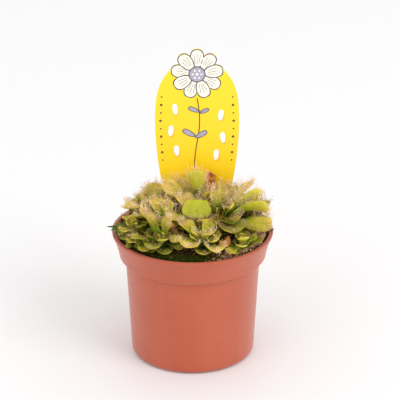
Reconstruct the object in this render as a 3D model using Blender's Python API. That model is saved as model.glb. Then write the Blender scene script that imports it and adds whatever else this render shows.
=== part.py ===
"""A potted sundew: a crowded clump of spoon-leaved rosettes in a round plastic pot, with a stick-in tag.

Metres, +Z up. The origin is the middle of the pot's foot, +Y is the back, where the tag stands.
"""
import math
import random
from dataclasses import dataclass, replace

import bmesh
import bpy
import numpy as np
from mathutils import Matrix
from mathutils.kdtree import KDTree

# Pot
RIM_RADIUS = 0.045
POT_HEIGHT = 0.0735
LIP_HEIGHT = 0.0015
BAND_TOP_RADIUS = 0.0442
BAND_BOTTOM_RADIUS = 0.0411
BAND_HEIGHT = 0.0142
SHOULDER_HEIGHT = 0.0020
WALL_TOP_RADIUS = 0.0377
BASE_RADIUS = 0.0347
BASE_ROUNDING = 0.0028
WALL = 0.0012
FLOOR = 0.0015
POT_SIDES = 48
DRAIN_COUNT = 6
DRAIN_SIDES = 8
DRAIN_TURN = math.pi / POT_SIDES
DRAIN_RADIUS = 0.0035
DRAIN_RING_RADIUS = 0.0245

# Soil
GAP = 0.0003
SOIL_RIM_DEPTH = 0.0018
SOIL_DOME = 0.0030
SOIL_BUMP = 0.0007
SOIL_SIDES = 24
SOIL_RINGS = 4

# Shortest edge kept where solids are joined
SLIVER = 0.00002

# Leaves
STALK_SHARE = 0.24
STALK_THICKNESS = 0.0013
BLADE_THICKNESS = 0.0007
WIDEST_AT = 0.80
CURL_FROM = 0.66
FOLD_FROM = 0.38
FOLD_TO = 0.68
BIG_STATIONS = np.array([0.0, 0.36, 0.66, 0.88, 0.98])
FOLDED_STATIONS = np.array([0.0, 0.34, 0.46, 0.56, 0.68, 0.84, 0.98])
SMALL_STATIONS = np.array([0.0, 0.40, 0.78, 0.97])
COLUMNS = np.array([-1.0, 0.0, 1.0])
SMALL_LEAF = 0.0160
PATH_STEPS = 30
CROWN_RADIUS = 0.0024
CROWN_SIDES = 6
CROWN_DEPTH = 0.0060
CROWN_TOP = 0.0026
WITHERED_DEPTH = 0.0015
YOUNG_LEAVES = 3
APRON_LEAVES = 5
APRON_HEIGHT = 0.0016
GOLDEN_ANGLE = 137.508

# Room that a leaf keeps to what stands beside it
CLEARANCE = 0.0006
LEAF_CLEARANCE = 0.0015
PROBES_ALONG = 22
PROBES_ACROSS = 8
FREE_FROM = 0.12
FREE_FROM_SISTERS = 0.46
SEARCH_TRIES = 50
CLUMP_RADIUS = 0.0460
MOUTH_RADIUS = 0.0418

# Tag
TAG_X = 0.0026
TAG_Y = 0.0225
TAG_THICKNESS = 0.0006
TAG_TOP = 0.1650
TAG_POINT = 0.0330
TAG_WIDEST = 0.1285
TAG_HALF_WIDTH = 0.0235
FLOWER_HEIGHT = 0.1575
FLOWER_RADIUS = 0.0150
FLOWER_PETALS = 9
TAG_SIDE_POINTS = 18
TAG_TOP_POINTS = 60

# Weed sprig at the left edge
WEED_ROOT = (-0.0392, 0.0005)
WEED_BLADES = 9
WEED_HEIGHT = 0.0042
WEED_STEM_RADIUS = 0.0009
WEED_DEPTH = 0.0032


@dataclass(frozen=True)
class Leaf:
    """One leaf, by its own measures; angles are in degrees."""
    azimuth: float
    rise: float
    droop: float
    length: float
    width: float
    curl: float = 0.0
    roll: float = 0.0
    fold: float = 0.0
    cup: float = 0.30
    root_height: float = 0.0


@dataclass(frozen=True)
class Rosette:
    """A crown and its leaves; x, y and height say where the leaves spring from."""
    name: str
    x: float
    y: float
    height: float
    size: float
    fillers: int
    seed: int
    leaves: tuple


ROSETTES = (
    Rosette("rosette_tall", 0.0044, 0.0130, 0.0800, 0.0170, 5, 31, (
        Leaf(-128, 80, -4, 0.0255, 0.0092, roll=30, cup=0.30),
        Leaf(148, 52, 40, 0.0200, 0.0125, roll=-44),
        Leaf(176, 40, 14, 0.0270, 0.0115, roll=-34),
        Leaf(28, 58, 20, 0.0200, 0.0100),
        Leaf(-12, 74, 8, 0.0200, 0.0080),
    )),
    Rosette("rosette_right", 0.0150, -0.0020, 0.0785, 0.0200, 4, 11, (
        Leaf(-28, 10, 16, 0.0310, 0.0155, roll=10),
        Leaf(-6, 38, 60, 0.0285, 0.0145, roll=-50),
        Leaf(14, 46, 42, 0.0280, 0.0145, roll=-46),
        Leaf(34, 52, 34, 0.0290, 0.0112, roll=-18),
        Leaf(76, 46, 34, 0.0240, 0.0105, roll=24),
        Leaf(-62, 10, 16, 0.0280, 0.0145, roll=-6),
        Leaf(-96, 18, 34, 0.0240, 0.0135),
        Leaf(118, 70, 18, 0.0190, 0.0080),
    )),
    Rosette("rosette_centre", 0.0024, -0.0015, 0.0785, 0.0180, 6, 23, (
        Leaf(92, 75, 0, 0.0268, 0.0176, fold=164, cup=0.03, root_height=-0.0010),
        Leaf(-145, 30, 44, 0.0200, 0.0140, curl=46),
        Leaf(-62, 10, 12, 0.0140, 0.0100),
        Leaf(150, 44, 44, 0.0200, 0.0130),
        Leaf(100, 54, 60, 0.0180, 0.0140),
    )),
    Rosette("rosette_front", 0.0050, -0.0268, 0.0765, 0.0155, 8, 57, (
        Leaf(-120, 36, 66, 0.0175, 0.0116, curl=40),
        Leaf(-64, 22, 34, 0.0180, 0.0108, roll=-14),
        Leaf(-166, 26, 44, 0.0180, 0.0100, curl=30),
        Leaf(-24, 24, 30, 0.0175, 0.0096),
        Leaf(140, 46, 40, 0.0170, 0.0100),
        Leaf(60, 50, 30, 0.0160, 0.0096),
    )),
    Rosette("rosette_left", -0.0165, -0.0256, 0.0765, 0.0155, 8, 43, (
        Leaf(128, 46, 30, 0.0220, 0.0124, roll=30),
        Leaf(-118, 14, 20, 0.0165, 0.0104),
        Leaf(-66, 16, 22, 0.0165, 0.0100),
        Leaf(-178, 14, 16, 0.0180, 0.0100, roll=12),
        Leaf(60, 48, 30, 0.0180, 0.0096),
        Leaf(-14, 32, 40, 0.0140, 0.0088),
    )),
    Rosette("rosette_middle", -0.0150, -0.0060, 0.0780, 0.0155, 8, 47, (
        Leaf(-160, 46, 44, 0.0190, 0.0108, roll=24),
        Leaf(-100, 50, 50, 0.0160, 0.0096),
        Leaf(-60, 34, 40, 0.0150, 0.0096),
        Leaf(120, 54, 30, 0.0170, 0.0096),
    )),
    Rosette("rosette_back_left", -0.0225, 0.0120, 0.0770, 0.0160, 8, 61, (
        Leaf(-172, 34, 44, 0.0165, 0.0104),
        Leaf(-120, 40, 50, 0.0180, 0.0104, roll=20),
        Leaf(110, 34, 26, 0.0170, 0.0100, roll=-20),
        Leaf(60, 52, 34, 0.0200, 0.0100),
        Leaf(150, 26, 36, 0.0190, 0.0104),
    )),
    Rosette("rosette_edge_right", 0.0325, 0.0120, 0.0768, 0.0140, 5, 89, (
        Leaf(-72, 14, 18, 0.0180, 0.0100),
        Leaf(0, 20, 30, 0.0140, 0.0088),
        Leaf(60, 22, 30, 0.0140, 0.0088),
    )),
    Rosette("rosette_edge_front", 0.0272, -0.0280, 0.0758, 0.0140, 6, 101, (
        Leaf(-30, 18, 26, 0.0120, 0.0080),
        Leaf(-100, 16, 22, 0.0130, 0.0084),
        Leaf(-150, 20, 26, 0.0130, 0.0080),
    )),
    Rosette("rosette_rim_left", -0.0292, -0.0240, 0.0758, 0.0125, 4, 131, (
        Leaf(-140, 14, 20, 0.0110, 0.0080),
        Leaf(-85, 14, 20, 0.0125, 0.0084),
        Leaf(170, 20, 26, 0.0120, 0.0080),
    )),
    Rosette("rosette_edge_left", -0.0308, -0.0098, 0.0765, 0.0128, 6, 113, (
        Leaf(-130, 16, 26, 0.0140, 0.0088),
        Leaf(-80, 20, 26, 0.0140, 0.0088),
        Leaf(120, 34, 30, 0.0120, 0.0080),
    )),
    Rosette("rosette_rear_left", -0.0150, 0.0315, 0.0765, 0.0150, 4, 71, (
        Leaf(95, 20, 26, 0.0130, 0.0088),
        Leaf(150, 20, 30, 0.0160, 0.0092),
    )),
    Rosette("rosette_rear_right", 0.0170, 0.0310, 0.0765, 0.0150, 4, 83, (
        Leaf(80, 20, 26, 0.0130, 0.0088),
        Leaf(30, 20, 30, 0.0160, 0.0092),
    )),
)

WITHERED = (
    ("withered_leaf_1", 0.0088, 0.0170, Leaf(60, 84, 6, 0.0285, 0.0056, curl=30, cup=0.5)),
    ("withered_leaf_2", 0.0160, -0.0215, Leaf(-76, 62, 100, 0.0170, 0.0064, cup=0.4)),
    ("withered_leaf_3", -0.0085, -0.0120, Leaf(-120, 66, 60, 0.0150, 0.0048, cup=0.5)),
)


def clear_scene():
    for thing in list(bpy.data.objects):
        bpy.data.objects.remove(thing, do_unlink=True)


def make_material(name, colour, roughness):
    material = bpy.data.materials.new(name)
    material.use_nodes = True
    shader = material.node_tree.nodes["Principled BSDF"]
    shader.inputs["Base Color"].default_value = (*colour, 1.0)
    shader.inputs["Roughness"].default_value = roughness
    shader.inputs["Metallic"].default_value = 0.0
    material.diffuse_color = (*colour, 1.0)
    return material


def add_object(name, points, faces, material=None):
    """A mesh object whose faces all point out."""
    mesh = bpy.data.meshes.new(name)
    mesh.from_pydata([tuple(point) for point in points], [], faces)
    shape = bmesh.new()
    shape.from_mesh(mesh)
    bmesh.ops.recalc_face_normals(shape, faces=shape.faces)
    shape.to_mesh(mesh)
    shape.free()
    if material:
        mesh.materials.append(material)
    thing = bpy.data.objects.new(name, mesh)
    bpy.context.scene.collection.objects.link(thing)
    return thing


def turned(name, profile, sides, material=None):
    """A closed profile of (radius, height) points turned about Z; radius 0 is allowed at its ends."""
    points = []
    rings = []
    for radius, height in profile:
        if radius == 0.0:
            rings.append([len(points)] * sides)
            points.append((0.0, 0.0, height))
            continue
        rings.append(list(range(len(points), len(points) + sides)))
        for side in range(sides):
            angle = math.tau * side / sides
            points.append((radius * math.cos(angle), radius * math.sin(angle), height))
    faces = []
    for upper, lower in zip(rings[:-1], rings[1:]):
        for side in range(sides):
            after = (side + 1) % sides
            corners = (upper[side], upper[after], lower[after], lower[side])
            face = list(dict.fromkeys(corners))
            if len(face) > 2:
                faces.append(face)
    return add_object(name, points, faces, material)


def moved(thing, x, y):
    """Moves a mesh's points across the floor plane."""
    for vert in thing.data.vertices:
        vert.co.x += x
        vert.co.y += y
    return thing


def weld(thing):
    """Closes the seam where a ring-shaped profile meets itself."""
    shape = bmesh.new()
    shape.from_mesh(thing.data)
    bmesh.ops.remove_doubles(shape, verts=shape.verts, dist=0.00001)
    bmesh.ops.recalc_face_normals(shape, faces=shape.faces)
    shape.to_mesh(thing.data)
    shape.free()


def apply_boolean(thing, operation, operands, solver="EXACT"):
    """Cuts or joins thing with the operands, then removes them."""
    group = bpy.data.collections.new(thing.name + "_operands")
    bpy.context.scene.collection.children.link(group)
    for operand in operands:
        group.objects.link(operand)
    modifier = thing.modifiers.new(operation.lower(), "BOOLEAN")
    modifier.operation = operation
    modifier.operand_type = "COLLECTION"
    modifier.collection = group
    modifier.solver = solver
    bpy.context.view_layer.update()
    evaluated = thing.evaluated_get(bpy.context.evaluated_depsgraph_get())
    mesh = bpy.data.meshes.new_from_object(evaluated)
    thing.modifiers.remove(modifier)
    old = thing.data
    thing.data = mesh
    bpy.data.meshes.remove(old)
    for operand in operands:
        bpy.data.objects.remove(operand, do_unlink=True)
    bpy.data.collections.remove(group)


def keep_main_body(thing):
    """Drops sealed hollows and loose scraps, so that one closed body is left."""
    shape = bmesh.new()
    shape.from_mesh(thing.data)
    left = set(shape.verts)
    bodies = []
    while left:
        body = {left.pop()}
        edge_of_body = list(body)
        while edge_of_body:
            vert = edge_of_body.pop()
            for edge in vert.link_edges:
                other = edge.other_vert(vert)
                if other in left:
                    left.discard(other)
                    body.add(other)
                    edge_of_body.append(other)
        bodies.append(body)
    bodies.sort(key=len)
    for body in bodies[:-1]:
        bmesh.ops.delete(shape, geom=list(body), context="VERTS")
    shape.to_mesh(thing.data)
    shape.free()


def drop_slivers(thing):
    """Splits a mesh into triangles and takes out those too thin to matter, if it stays closed."""
    shape = bmesh.new()
    shape.from_mesh(thing.data)
    bmesh.ops.triangulate(shape, faces=shape.faces)
    shape.to_mesh(thing.data)
    bmesh.ops.dissolve_degenerate(shape, edges=shape.edges, dist=SLIVER)
    if all(edge.is_manifold for edge in shape.edges):
        shape.to_mesh(thing.data)
    shape.free()


def smooth_step(value):
    value = np.clip(value, 0.0, 1.0)
    return value * value * (3.0 - 2.0 * value)


def soil_height(x, y):
    """Height of the soil's uneven top."""
    share = np.minimum(np.hypot(x, y) / RIM_RADIUS, 1.0)
    bumps = np.sin(310 * x + 1.1) * np.cos(270 * y - 0.4) + 0.6 * np.sin(520 * y + 340 * x)
    return POT_HEIGHT - SOIL_RIM_DEPTH + SOIL_DOME * (1 - share * share) + SOIL_BUMP * bumps


def half_width(leaf, along):
    """Half the blade's width: a wedge from a narrow stalk to a broad, rounded, cut-off tip."""
    spread = STALK_SHARE + (1 - STALK_SHARE) * np.minimum(along / WIDEST_AT, 1.0) ** 1.4
    past = np.maximum(along - WIDEST_AT, 0.0) / (1 - WIDEST_AT)
    return leaf.width / 2 * spread * np.sqrt(np.maximum(1 - past ** 2.6, 0.0))


def thickness(along):
    return BLADE_THICKNESS + (STALK_THICKNESS - BLADE_THICKNESS) * (1 - smooth_step(along / 0.5))


def leaf_frames(leaf, root):
    """Points on the midrib, evenly spaced, and the directions across and out of the blade there."""
    along = np.linspace(0.0, 1.0, PATH_STEPS + 1)
    azimuth = math.radians(leaf.azimuth)
    side = np.array([-math.sin(azimuth), math.cos(azimuth), 0.0])
    bend = leaf.curl * smooth_step((along - CURL_FROM) / (1 - CURL_FROM)) - leaf.droop * along ** 1.6
    fold = leaf.fold * smooth_step((along - FOLD_FROM) / (FOLD_TO - FOLD_FROM))
    climb = np.radians(leaf.rise + bend + fold)
    tangents = np.stack([np.cos(climb) * math.cos(azimuth), np.cos(climb) * math.sin(azimuth),
                         np.sin(climb)], axis=1)
    normals = np.cross(tangents, side)
    roll = np.radians(leaf.roll * smooth_step(along / 0.7))[:, None]
    across = side * np.cos(roll) + normals * np.sin(roll)
    out = normals * np.cos(roll) - side * np.sin(roll)
    steps = np.concatenate([np.zeros((1, 3)), np.cumsum(tangents[:-1], axis=0)])
    return np.array(root) + steps * (leaf.length / PATH_STEPS), across, out


def blade_grid(leaf, frames, alongs, across, lift=0.0):
    """Points of the blade, by row along it and column across it, lifted off its middle surface."""
    place = alongs * PATH_STEPS
    low = np.minimum(place.astype(int), PATH_STEPS - 1)
    share = (place - low)[:, None]
    point, side, out = (table[low] + (table[low + 1] - table[low]) * share for table in frames)
    half = half_width(leaf, alongs)[:, None]
    height = leaf.cup * half * np.abs(across) ** 1.8 + lift
    return point[:, None] + side[:, None] * (half * across)[..., None] + out[:, None] * height[..., None]


def leaf_root(rosette, leaf):
    """A leaf springs from the crown a little way out from its middle."""
    azimuth = math.radians(leaf.azimuth)
    out = CROWN_RADIUS * 0.35
    return (
        rosette.x + out * math.cos(azimuth),
        rosette.y + out * math.sin(azimuth),
        rosette.height + leaf.root_height,
    )


def stations(leaf):
    """Where along a leaf its blade has its points: more on a big leaf, and close together in a fold."""
    if leaf.fold:
        return FOLDED_STATIONS
    return BIG_STATIONS if leaf.length > SMALL_LEAF else SMALL_STATIONS


def blade_probes(leaf, root):
    """A grid of points over the blade as it is built, with how far along the leaf each one lies."""
    places = stations(leaf)
    rows = blade_grid(leaf, leaf_frames(leaf, root), places, COLUMNS)
    alongs = np.linspace(FREE_FROM, places[-1], PROBES_ALONG)
    after = np.searchsorted(places, alongs[:-1], side="right")
    after = np.append(after, len(places) - 1)
    share = ((alongs - places[after - 1]) / (places[after] - places[after - 1]))[:, None, None]
    grid = rows[after - 1] * (1 - share) + rows[after] * share
    shares = np.linspace(0.0, 1.0, PROBES_ACROSS // 2 + 1)[:, None]
    left = grid[:, None, 0] * (1 - shares) + grid[:, None, 1] * shares
    right = grid[:, None, 2] * (1 - shares) + grid[:, None, 1] * shares
    points = np.concatenate([left, right[:, :-1]], axis=1)
    return points.reshape(-1, 3), np.repeat(alongs, PROBES_ACROSS + 1)


class Crowd:
    """What stands in the pot so far, as points, so that the next leaf is set clear of it."""

    def __init__(self):
        self.points = []
        self.owners = []
        self.alongs = []
        self.tree = KDTree(0)
        self.tree.balance()

    def add(self, owner, points, alongs):
        self.points += points.tolist()
        self.owners += [owner] * len(points)
        self.alongs += list(alongs)
        self.tree = KDTree(len(self.points))
        for number, point in enumerate(self.points):
            self.tree.insert(point, number)
        self.tree.balance()

    def is_near(self, owner, point, along, distance):
        """Sister leaves may meet near their crown, but nothing else may."""
        for _, number, _ in self.tree.find_range(point, distance):
            if self.owners[number] != owner:
                return True
            if along > FREE_FROM_SISTERS and self.alongs[number] > FREE_FROM_SISTERS:
                return True
        return False


def clear_of_pot_and_tag(points, side_of_tag):
    """Whether all points are over the soil or the rim, and on their own side of the tag."""
    x, y, z = points[:, 0], points[:, 1], points[:, 2]
    radius = np.hypot(x, y)
    floor = np.where(radius < MOUTH_RADIUS - CLEARANCE, soil_height(x, y), POT_HEIGHT) + CLEARANCE
    beside_tag = np.abs(x - TAG_X) > tag_half_width(z) + CLEARANCE
    off_tag = (y - TAG_Y) * side_of_tag > TAG_THICKNESS / 2 + CLEARANCE
    return bool(np.all(z > floor) and radius.max() < CLUMP_RADIUS and np.all(beside_tag | off_tag))


def side_of_tag(rosette):
    return 1 if rosette.y > TAG_Y else -1


def fits(rosette, points, alongs, crowd):
    """Whether a leaf with these points is clear of the pot, the tag and the leaves set so far."""
    if not clear_of_pot_and_tag(points, side_of_tag(rosette)):
        return False
    return not any(
        crowd.is_near(rosette.name, point, along, LEAF_CLEARANCE)
        for point, along in zip(points.tolist(), alongs.tolist())
    )


def varied(leaf, attempt, draw):
    """The leaf turned, raised and shortened a little, more so with each attempt."""
    turn = draw.uniform(-1, 1) * min(3.0 * attempt, 40.0)
    lift = draw.uniform(-0.6, 1) * min(2.0 * attempt, 40.0)
    shrink = 1 - 0.5 * attempt / SEARCH_TRIES
    return replace(
        leaf,
        azimuth=leaf.azimuth + turn,
        rise=min(max(leaf.rise + lift, 6.0), 88.0),
        length=leaf.length * shrink,
        width=leaf.width * (0.3 + 0.7 * shrink),
    )


def settle(leaf, rosette, crowd, draw):
    """Finds the nearest form of a leaf that is clear of the others, and keeps its place; else None."""
    for attempt in range(SEARCH_TRIES):
        trial = varied(leaf, attempt, draw) if attempt else leaf
        points, alongs = blade_probes(trial, leaf_root(rosette, trial))
        if fits(rosette, points, alongs, crowd):
            crowd.add(rosette.name, points, alongs)
            return trial
    return None


def young_leaves(rosette):
    """The small upright leaves in the crown's middle."""
    return [
        Leaf(GOLDEN_ANGLE * number + rosette.seed, 70 + 4 * number, -10, rosette.size * (0.46 - 0.06 * number),
             rosette.size * 0.20, curl=70, cup=0.45, root_height=0.0014)
        for number in range(YOUNG_LEAVES)
    ]


def apron_leaf(rosette, number, draw):
    """One of the oldest leaves, which spring from low on the stem and hide the soil."""
    return Leaf(
        360 / APRON_LEAVES * number + 5 * rosette.seed,
        draw.uniform(12, 18),
        draw.uniform(14, 26),
        rosette.size * draw.uniform(0.85, 1.0),
        rosette.size * draw.uniform(0.54, 0.64),
        curl=draw.uniform(10, 50),
        root_height=soil_height(rosette.x, rosette.y) + APRON_HEIGHT - rosette.height,
    )


def filler_leaf(rosette, number, draw):
    """One of the leaves that fill the crowd, steeper the later it comes."""
    share = number / max(rosette.fillers - 1, 1)
    return Leaf(
        GOLDEN_ANGLE * number + 7 * rosette.seed,
        24 + 40 * share + draw.uniform(-6, 6),
        draw.uniform(16, 52),
        rosette.size * draw.uniform(0.8, 1.05),
        rosette.size * draw.uniform(0.44, 0.58),
        curl=draw.uniform(10, 70),
        roll=draw.uniform(-16, 16),
    )


def place_leaves():
    """Every rosette's leaves by its name: the chosen ones first, then the young ones and the fillers."""
    draw = random.Random(5)
    crowd = Crowd()
    for name, x, y, leaf in WITHERED:
        crowd.add(name, *blade_probes(leaf, withered_root(x, y)))
    for foot, heading, length in weed_blades():
        steps = np.linspace(0.0, length, 5)[:, None]
        crowd.add("weed_sprig", foot + heading * steps, np.ones(5))
        crowd.add("weed_sprig", foot - np.array([0.0, 0.0, 1.0]) * steps, np.ones(5))
    for rosette in ROSETTES:
        heights = np.arange(soil_height(rosette.x, rosette.y), rosette.height + CROWN_TOP, CROWN_RADIUS / 2)
        stem = np.array([(rosette.x, rosette.y, height) for height in heights])
        for turn in range(4):
            out = CROWN_RADIUS * np.array([math.cos(math.tau * turn / 4), math.sin(math.tau * turn / 4), 0.0])
            crowd.add(rosette.name, stem + out, np.zeros(len(stem)))
    placed = {rosette.name: [] for rosette in ROSETTES}
    for rosette in ROSETTES:
        for leaf in list(rosette.leaves) + young_leaves(rosette):
            placed[rosette.name].append(settle(leaf, rosette, crowd, draw))
    for number in range(APRON_LEAVES):
        for rosette in ROSETTES:
            placed[rosette.name].append(settle(apron_leaf(rosette, number, draw), rosette, crowd, draw))
    for number in range(max(rosette.fillers for rosette in ROSETTES)):
        for rosette in ROSETTES:
            if number < rosette.fillers:
                leaf = filler_leaf(rosette, number, draw)
                placed[rosette.name].append(settle(leaf, rosette, crowd, draw))
    return {name: [leaf for leaf in leaves if leaf] for name, leaves in placed.items()}


def blade(name, leaf, root, material=None):
    """A thin blade of three columns, split into triangles alike on both faces."""
    places = stations(leaf)
    frames = leaf_frames(leaf, root)
    half = thickness(places)[:, None] / 2
    upper = blade_grid(leaf, frames, places, COLUMNS, half)
    lower = blade_grid(leaf, frames, places, COLUMNS, -half)
    points = np.concatenate([upper, lower], axis=1).reshape(-1, 3)
    faces = []
    for station in range(len(places) - 1):
        here, there = 6 * station, 6 * (station + 1)
        for column in (0, 1):
            a, b, c, d = here + column, here + column + 1, there + column + 1, there + column
            faces += [(a, b, c), (a, c, d), (a + 3, c + 3, b + 3), (a + 3, d + 3, c + 3)]
        for column in (0, 2):
            a, b = here + column, there + column
            faces += [(a, b, b + 3), (a, b + 3, a + 3)]
    for end in (0, 6 * (len(places) - 1)):
        for column in (0, 1):
            a = end + column
            faces += [(a, a + 1, a + 4), (a, a + 4, a + 3)]
    return add_object(name, points, faces, material)


def crown(rosette, material):
    """The short stem that the leaves spring from; its foot stands in the soil."""
    foot = soil_height(rosette.x, rosette.y) - CROWN_DEPTH
    top = rosette.height + CROWN_TOP
    profile = [(0.0, top), (CROWN_RADIUS * 0.7, top - 0.0006), (CROWN_RADIUS, top - 0.0022),
               (CROWN_RADIUS, foot + 0.001), (CROWN_RADIUS * 0.6, foot), (0.0, foot)]
    return moved(turned(rosette.name, profile, CROWN_SIDES, material), rosette.x, rosette.y)


def build_rosette(rosette, leaves, material):
    body = crown(rosette, material)
    repeats = [blade("leaf", leaf, leaf_root(rosette, leaf)) for leaf in leaves]
    apply_boolean(body, "UNION", repeats)
    keep_main_body(body)
    drop_slivers(body)


def withered_root(x, y):
    return (x, y, soil_height(x, y) - WITHERED_DEPTH)


def build_withered(name, x, y, leaf, material):
    """A dead leaf whose stalk stands in the soil beside a crown."""
    return blade(name, leaf, withered_root(x, y), material)


def pot_profile():
    """Outer side from the lip down, the foot, then the inner side back up."""
    band_bottom = POT_HEIGHT - BAND_HEIGHT
    outer = [
        (RIM_RADIUS - 0.0006, POT_HEIGHT),
        (RIM_RADIUS, POT_HEIGHT - 0.0005),
        (RIM_RADIUS, POT_HEIGHT - LIP_HEIGHT + 0.0003),
        (BAND_TOP_RADIUS, POT_HEIGHT - LIP_HEIGHT - 0.0004),
        (BAND_BOTTOM_RADIUS + 0.0005, band_bottom + 0.0035),
        (BAND_BOTTOM_RADIUS, band_bottom),
        (WALL_TOP_RADIUS, band_bottom - SHOULDER_HEIGHT),
    ]
    for angle in np.radians(np.linspace(0, 90, 4)):
        outer.append((BASE_RADIUS - BASE_ROUNDING * (1 - math.cos(angle)),
                      BASE_ROUNDING * (1 - math.sin(angle))))
    return outer + [(0.0, 0.0), (0.0, FLOOR)] + pot_inside()


def pot_inside(gap=0.0):
    """The inner side from the floor up to the lip, or a surface the given gap inside it."""
    band_bottom = POT_HEIGHT - BAND_HEIGHT
    inset = WALL + gap
    return [
        (BASE_RADIUS - BASE_ROUNDING - 0.0004 - gap, FLOOR + gap),
        (BASE_RADIUS - inset, FLOOR + BASE_ROUNDING - 0.0006),
        (WALL_TOP_RADIUS - inset, band_bottom - SHOULDER_HEIGHT + 0.0003 + gap),
        (BAND_BOTTOM_RADIUS - inset, band_bottom + 0.0003 + gap),
        (BAND_BOTTOM_RADIUS + 0.0005 - inset, band_bottom + 0.0035),
        (BAND_TOP_RADIUS - inset, POT_HEIGHT - LIP_HEIGHT),
        (BAND_TOP_RADIUS - inset, POT_HEIGHT),
    ]


def build_pot(material):
    profile = pot_profile()
    pot = turned("pot", profile + profile[:1], POT_SIDES, material)
    weld(pot)
    drains = []
    for number in range(DRAIN_COUNT):
        angle = math.tau * (number + 0.5) / DRAIN_COUNT + DRAIN_TURN
        drain = turned("drain", [(0.0, 2 * FLOOR), (DRAIN_RADIUS, 2 * FLOOR),
                                 (DRAIN_RADIUS, -FLOOR), (0.0, -FLOOR)], DRAIN_SIDES)
        drain.data.transform(Matrix.Rotation(angle, 4, "Z"))
        drains.append(moved(drain, DRAIN_RING_RADIUS * math.cos(angle), DRAIN_RING_RADIUS * math.sin(angle)))
    apply_boolean(pot, "DIFFERENCE", drains)
    pot.data.shade_smooth()
    pot.data.set_sharp_from_angle(angle=math.radians(35))


def build_soil(material):
    """The root ball: the pot's inside less a gap, with an uneven, slightly domed top."""
    level = POT_HEIGHT - SOIL_RIM_DEPTH
    side = [point for point in pot_inside(GAP) if point[1] < level - 0.001]
    top_radius = MOUTH_RADIUS - GAP
    points = [(0.0, 0.0, FLOOR + GAP)]
    rings = [soil_ring(points, radius, height) for radius, height in side]
    rings += [soil_ring(points, top_radius * (1 - number / SOIL_RINGS)) for number in range(SOIL_RINGS)]
    points.append((0.0, 0.0, soil_height(0.0, 0.0)))
    last = len(points) - 1
    faces = []
    for lower, upper in zip(rings[:-1], rings[1:]):
        for k in range(SOIL_SIDES):
            after = (k + 1) % SOIL_SIDES
            faces += [(lower[k], lower[after], upper[after]), (lower[k], upper[after], upper[k])]
    for k in range(SOIL_SIDES):
        after = (k + 1) % SOIL_SIDES
        faces += [(rings[0][after], rings[0][k], 0), (rings[-1][k], rings[-1][after], last)]
    soil = add_object("soil", points, faces, material)
    apply_boolean(soil, "DIFFERENCE", soil_holes())
    keep_main_body(soil)


def soil_ring(points, radius, height=None):
    """Adds a ring of points, on the soil's top if no height is given, and returns their numbers."""
    numbers = []
    for angle in np.linspace(0, math.tau, SOIL_SIDES, endpoint=False):
        x, y = radius * math.cos(angle), radius * math.sin(angle)
        numbers.append(len(points))
        points.append((x, y, soil_height(x, y) if height is None else height))
    return numbers


def soil_holes():
    """Plain holes for the stems and a slot for the tag, each with the same small gap."""
    holes = [stem_hole(rosette.x, rosette.y, CROWN_RADIUS + GAP, CROWN_DEPTH + GAP) for rosette in ROSETTES]
    holes += [stem_hole(x, y, leaf.width * 0.5, WITHERED_DEPTH + 0.001) for _, x, y, leaf in WITHERED]
    holes.append(stem_hole(*WEED_ROOT, WEED_STEM_RADIUS + GAP, WEED_DEPTH + GAP))
    holes.append(tag_solid("tag_slot", GAP))
    return holes


def stem_hole(x, y, radius, depth):
    level = soil_height(x, y)
    hole = turned("hole", [(0.0, level + 0.01), (radius, level + 0.01),
                           (radius, level - depth), (0.0, level - depth)], CROWN_SIDES)
    return moved(hole, x, y)


def tag_half_width(height):
    """Half the tag's width: a rounded top, then a long taper to the point in the soil."""
    up = np.clip((height - TAG_WIDEST) / (TAG_TOP - TAG_WIDEST), 0.0, 1.0)
    down = np.clip((TAG_WIDEST - height) / (TAG_WIDEST - TAG_POINT), 0.0, 1.0)
    return TAG_HALF_WIDTH * (1 - up ** 3.0) ** (1 / 2.1) * (1 - down ** 1.9) ** 0.95


def flower_radius(angle):
    """The edge of a ring of rounded petals, by angle about the flower's middle."""
    lobe = abs(math.cos(FLOWER_PETALS * (angle - math.pi / 2) / 2))
    return FLOWER_RADIUS * (0.76 + 0.24 * lobe ** 0.8)


def tag_reach(angle):
    """How far the plain tag reaches from the flower's middle at an angle, by halving."""
    near, far = 0.0, 2 * TAG_HALF_WIDTH
    for _ in range(30):
        middle = (near + far) / 2
        height = FLOWER_HEIGHT + middle * math.sin(angle)
        if abs(middle * math.cos(angle)) < tag_half_width(height):
            near = middle
        else:
            far = middle
    return near


def tag_outline(grow=0.0):
    """The tag's edge as (x, z) points, with the flower's petals standing over its top."""
    outline = []
    for step in range(1, TAG_SIDE_POINTS):
        share = math.sin(math.pi / 2 * step / TAG_SIDE_POINTS) ** 1.5
        height = TAG_POINT + (FLOWER_HEIGHT - TAG_POINT) * share
        outline.append((tag_half_width(height) + grow, height))
    left = [(-x, z) for x, z in reversed(outline)]
    top = []
    for angle in np.linspace(0, math.pi, TAG_TOP_POINTS):
        reach = max(tag_reach(angle), flower_radius(angle)) + grow
        top.append((reach * math.cos(angle), FLOWER_HEIGHT + reach * math.sin(angle)))
    point = [(0.0, TAG_POINT - grow)]
    return [(TAG_X + x, z) for x, z in point + outline + top + left]


def tag_solid(name, grow=0.0, material=None):
    """The tag's outline given its thickness, or a slightly larger copy to cut its slot."""
    outline = tag_outline(grow)
    half = TAG_THICKNESS / 2 + grow
    count = len(outline)
    points = [(x, TAG_Y - half, z) for x, z in outline] + [(x, TAG_Y + half, z) for x, z in outline]
    faces = [tuple(range(count)), tuple(range(2 * count - 1, count - 1, -1))]
    for k in range(count):
        after = (k + 1) % count
        faces.append((k, k + count, after + count, after))
    return add_object(name, points, faces, material)


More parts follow.
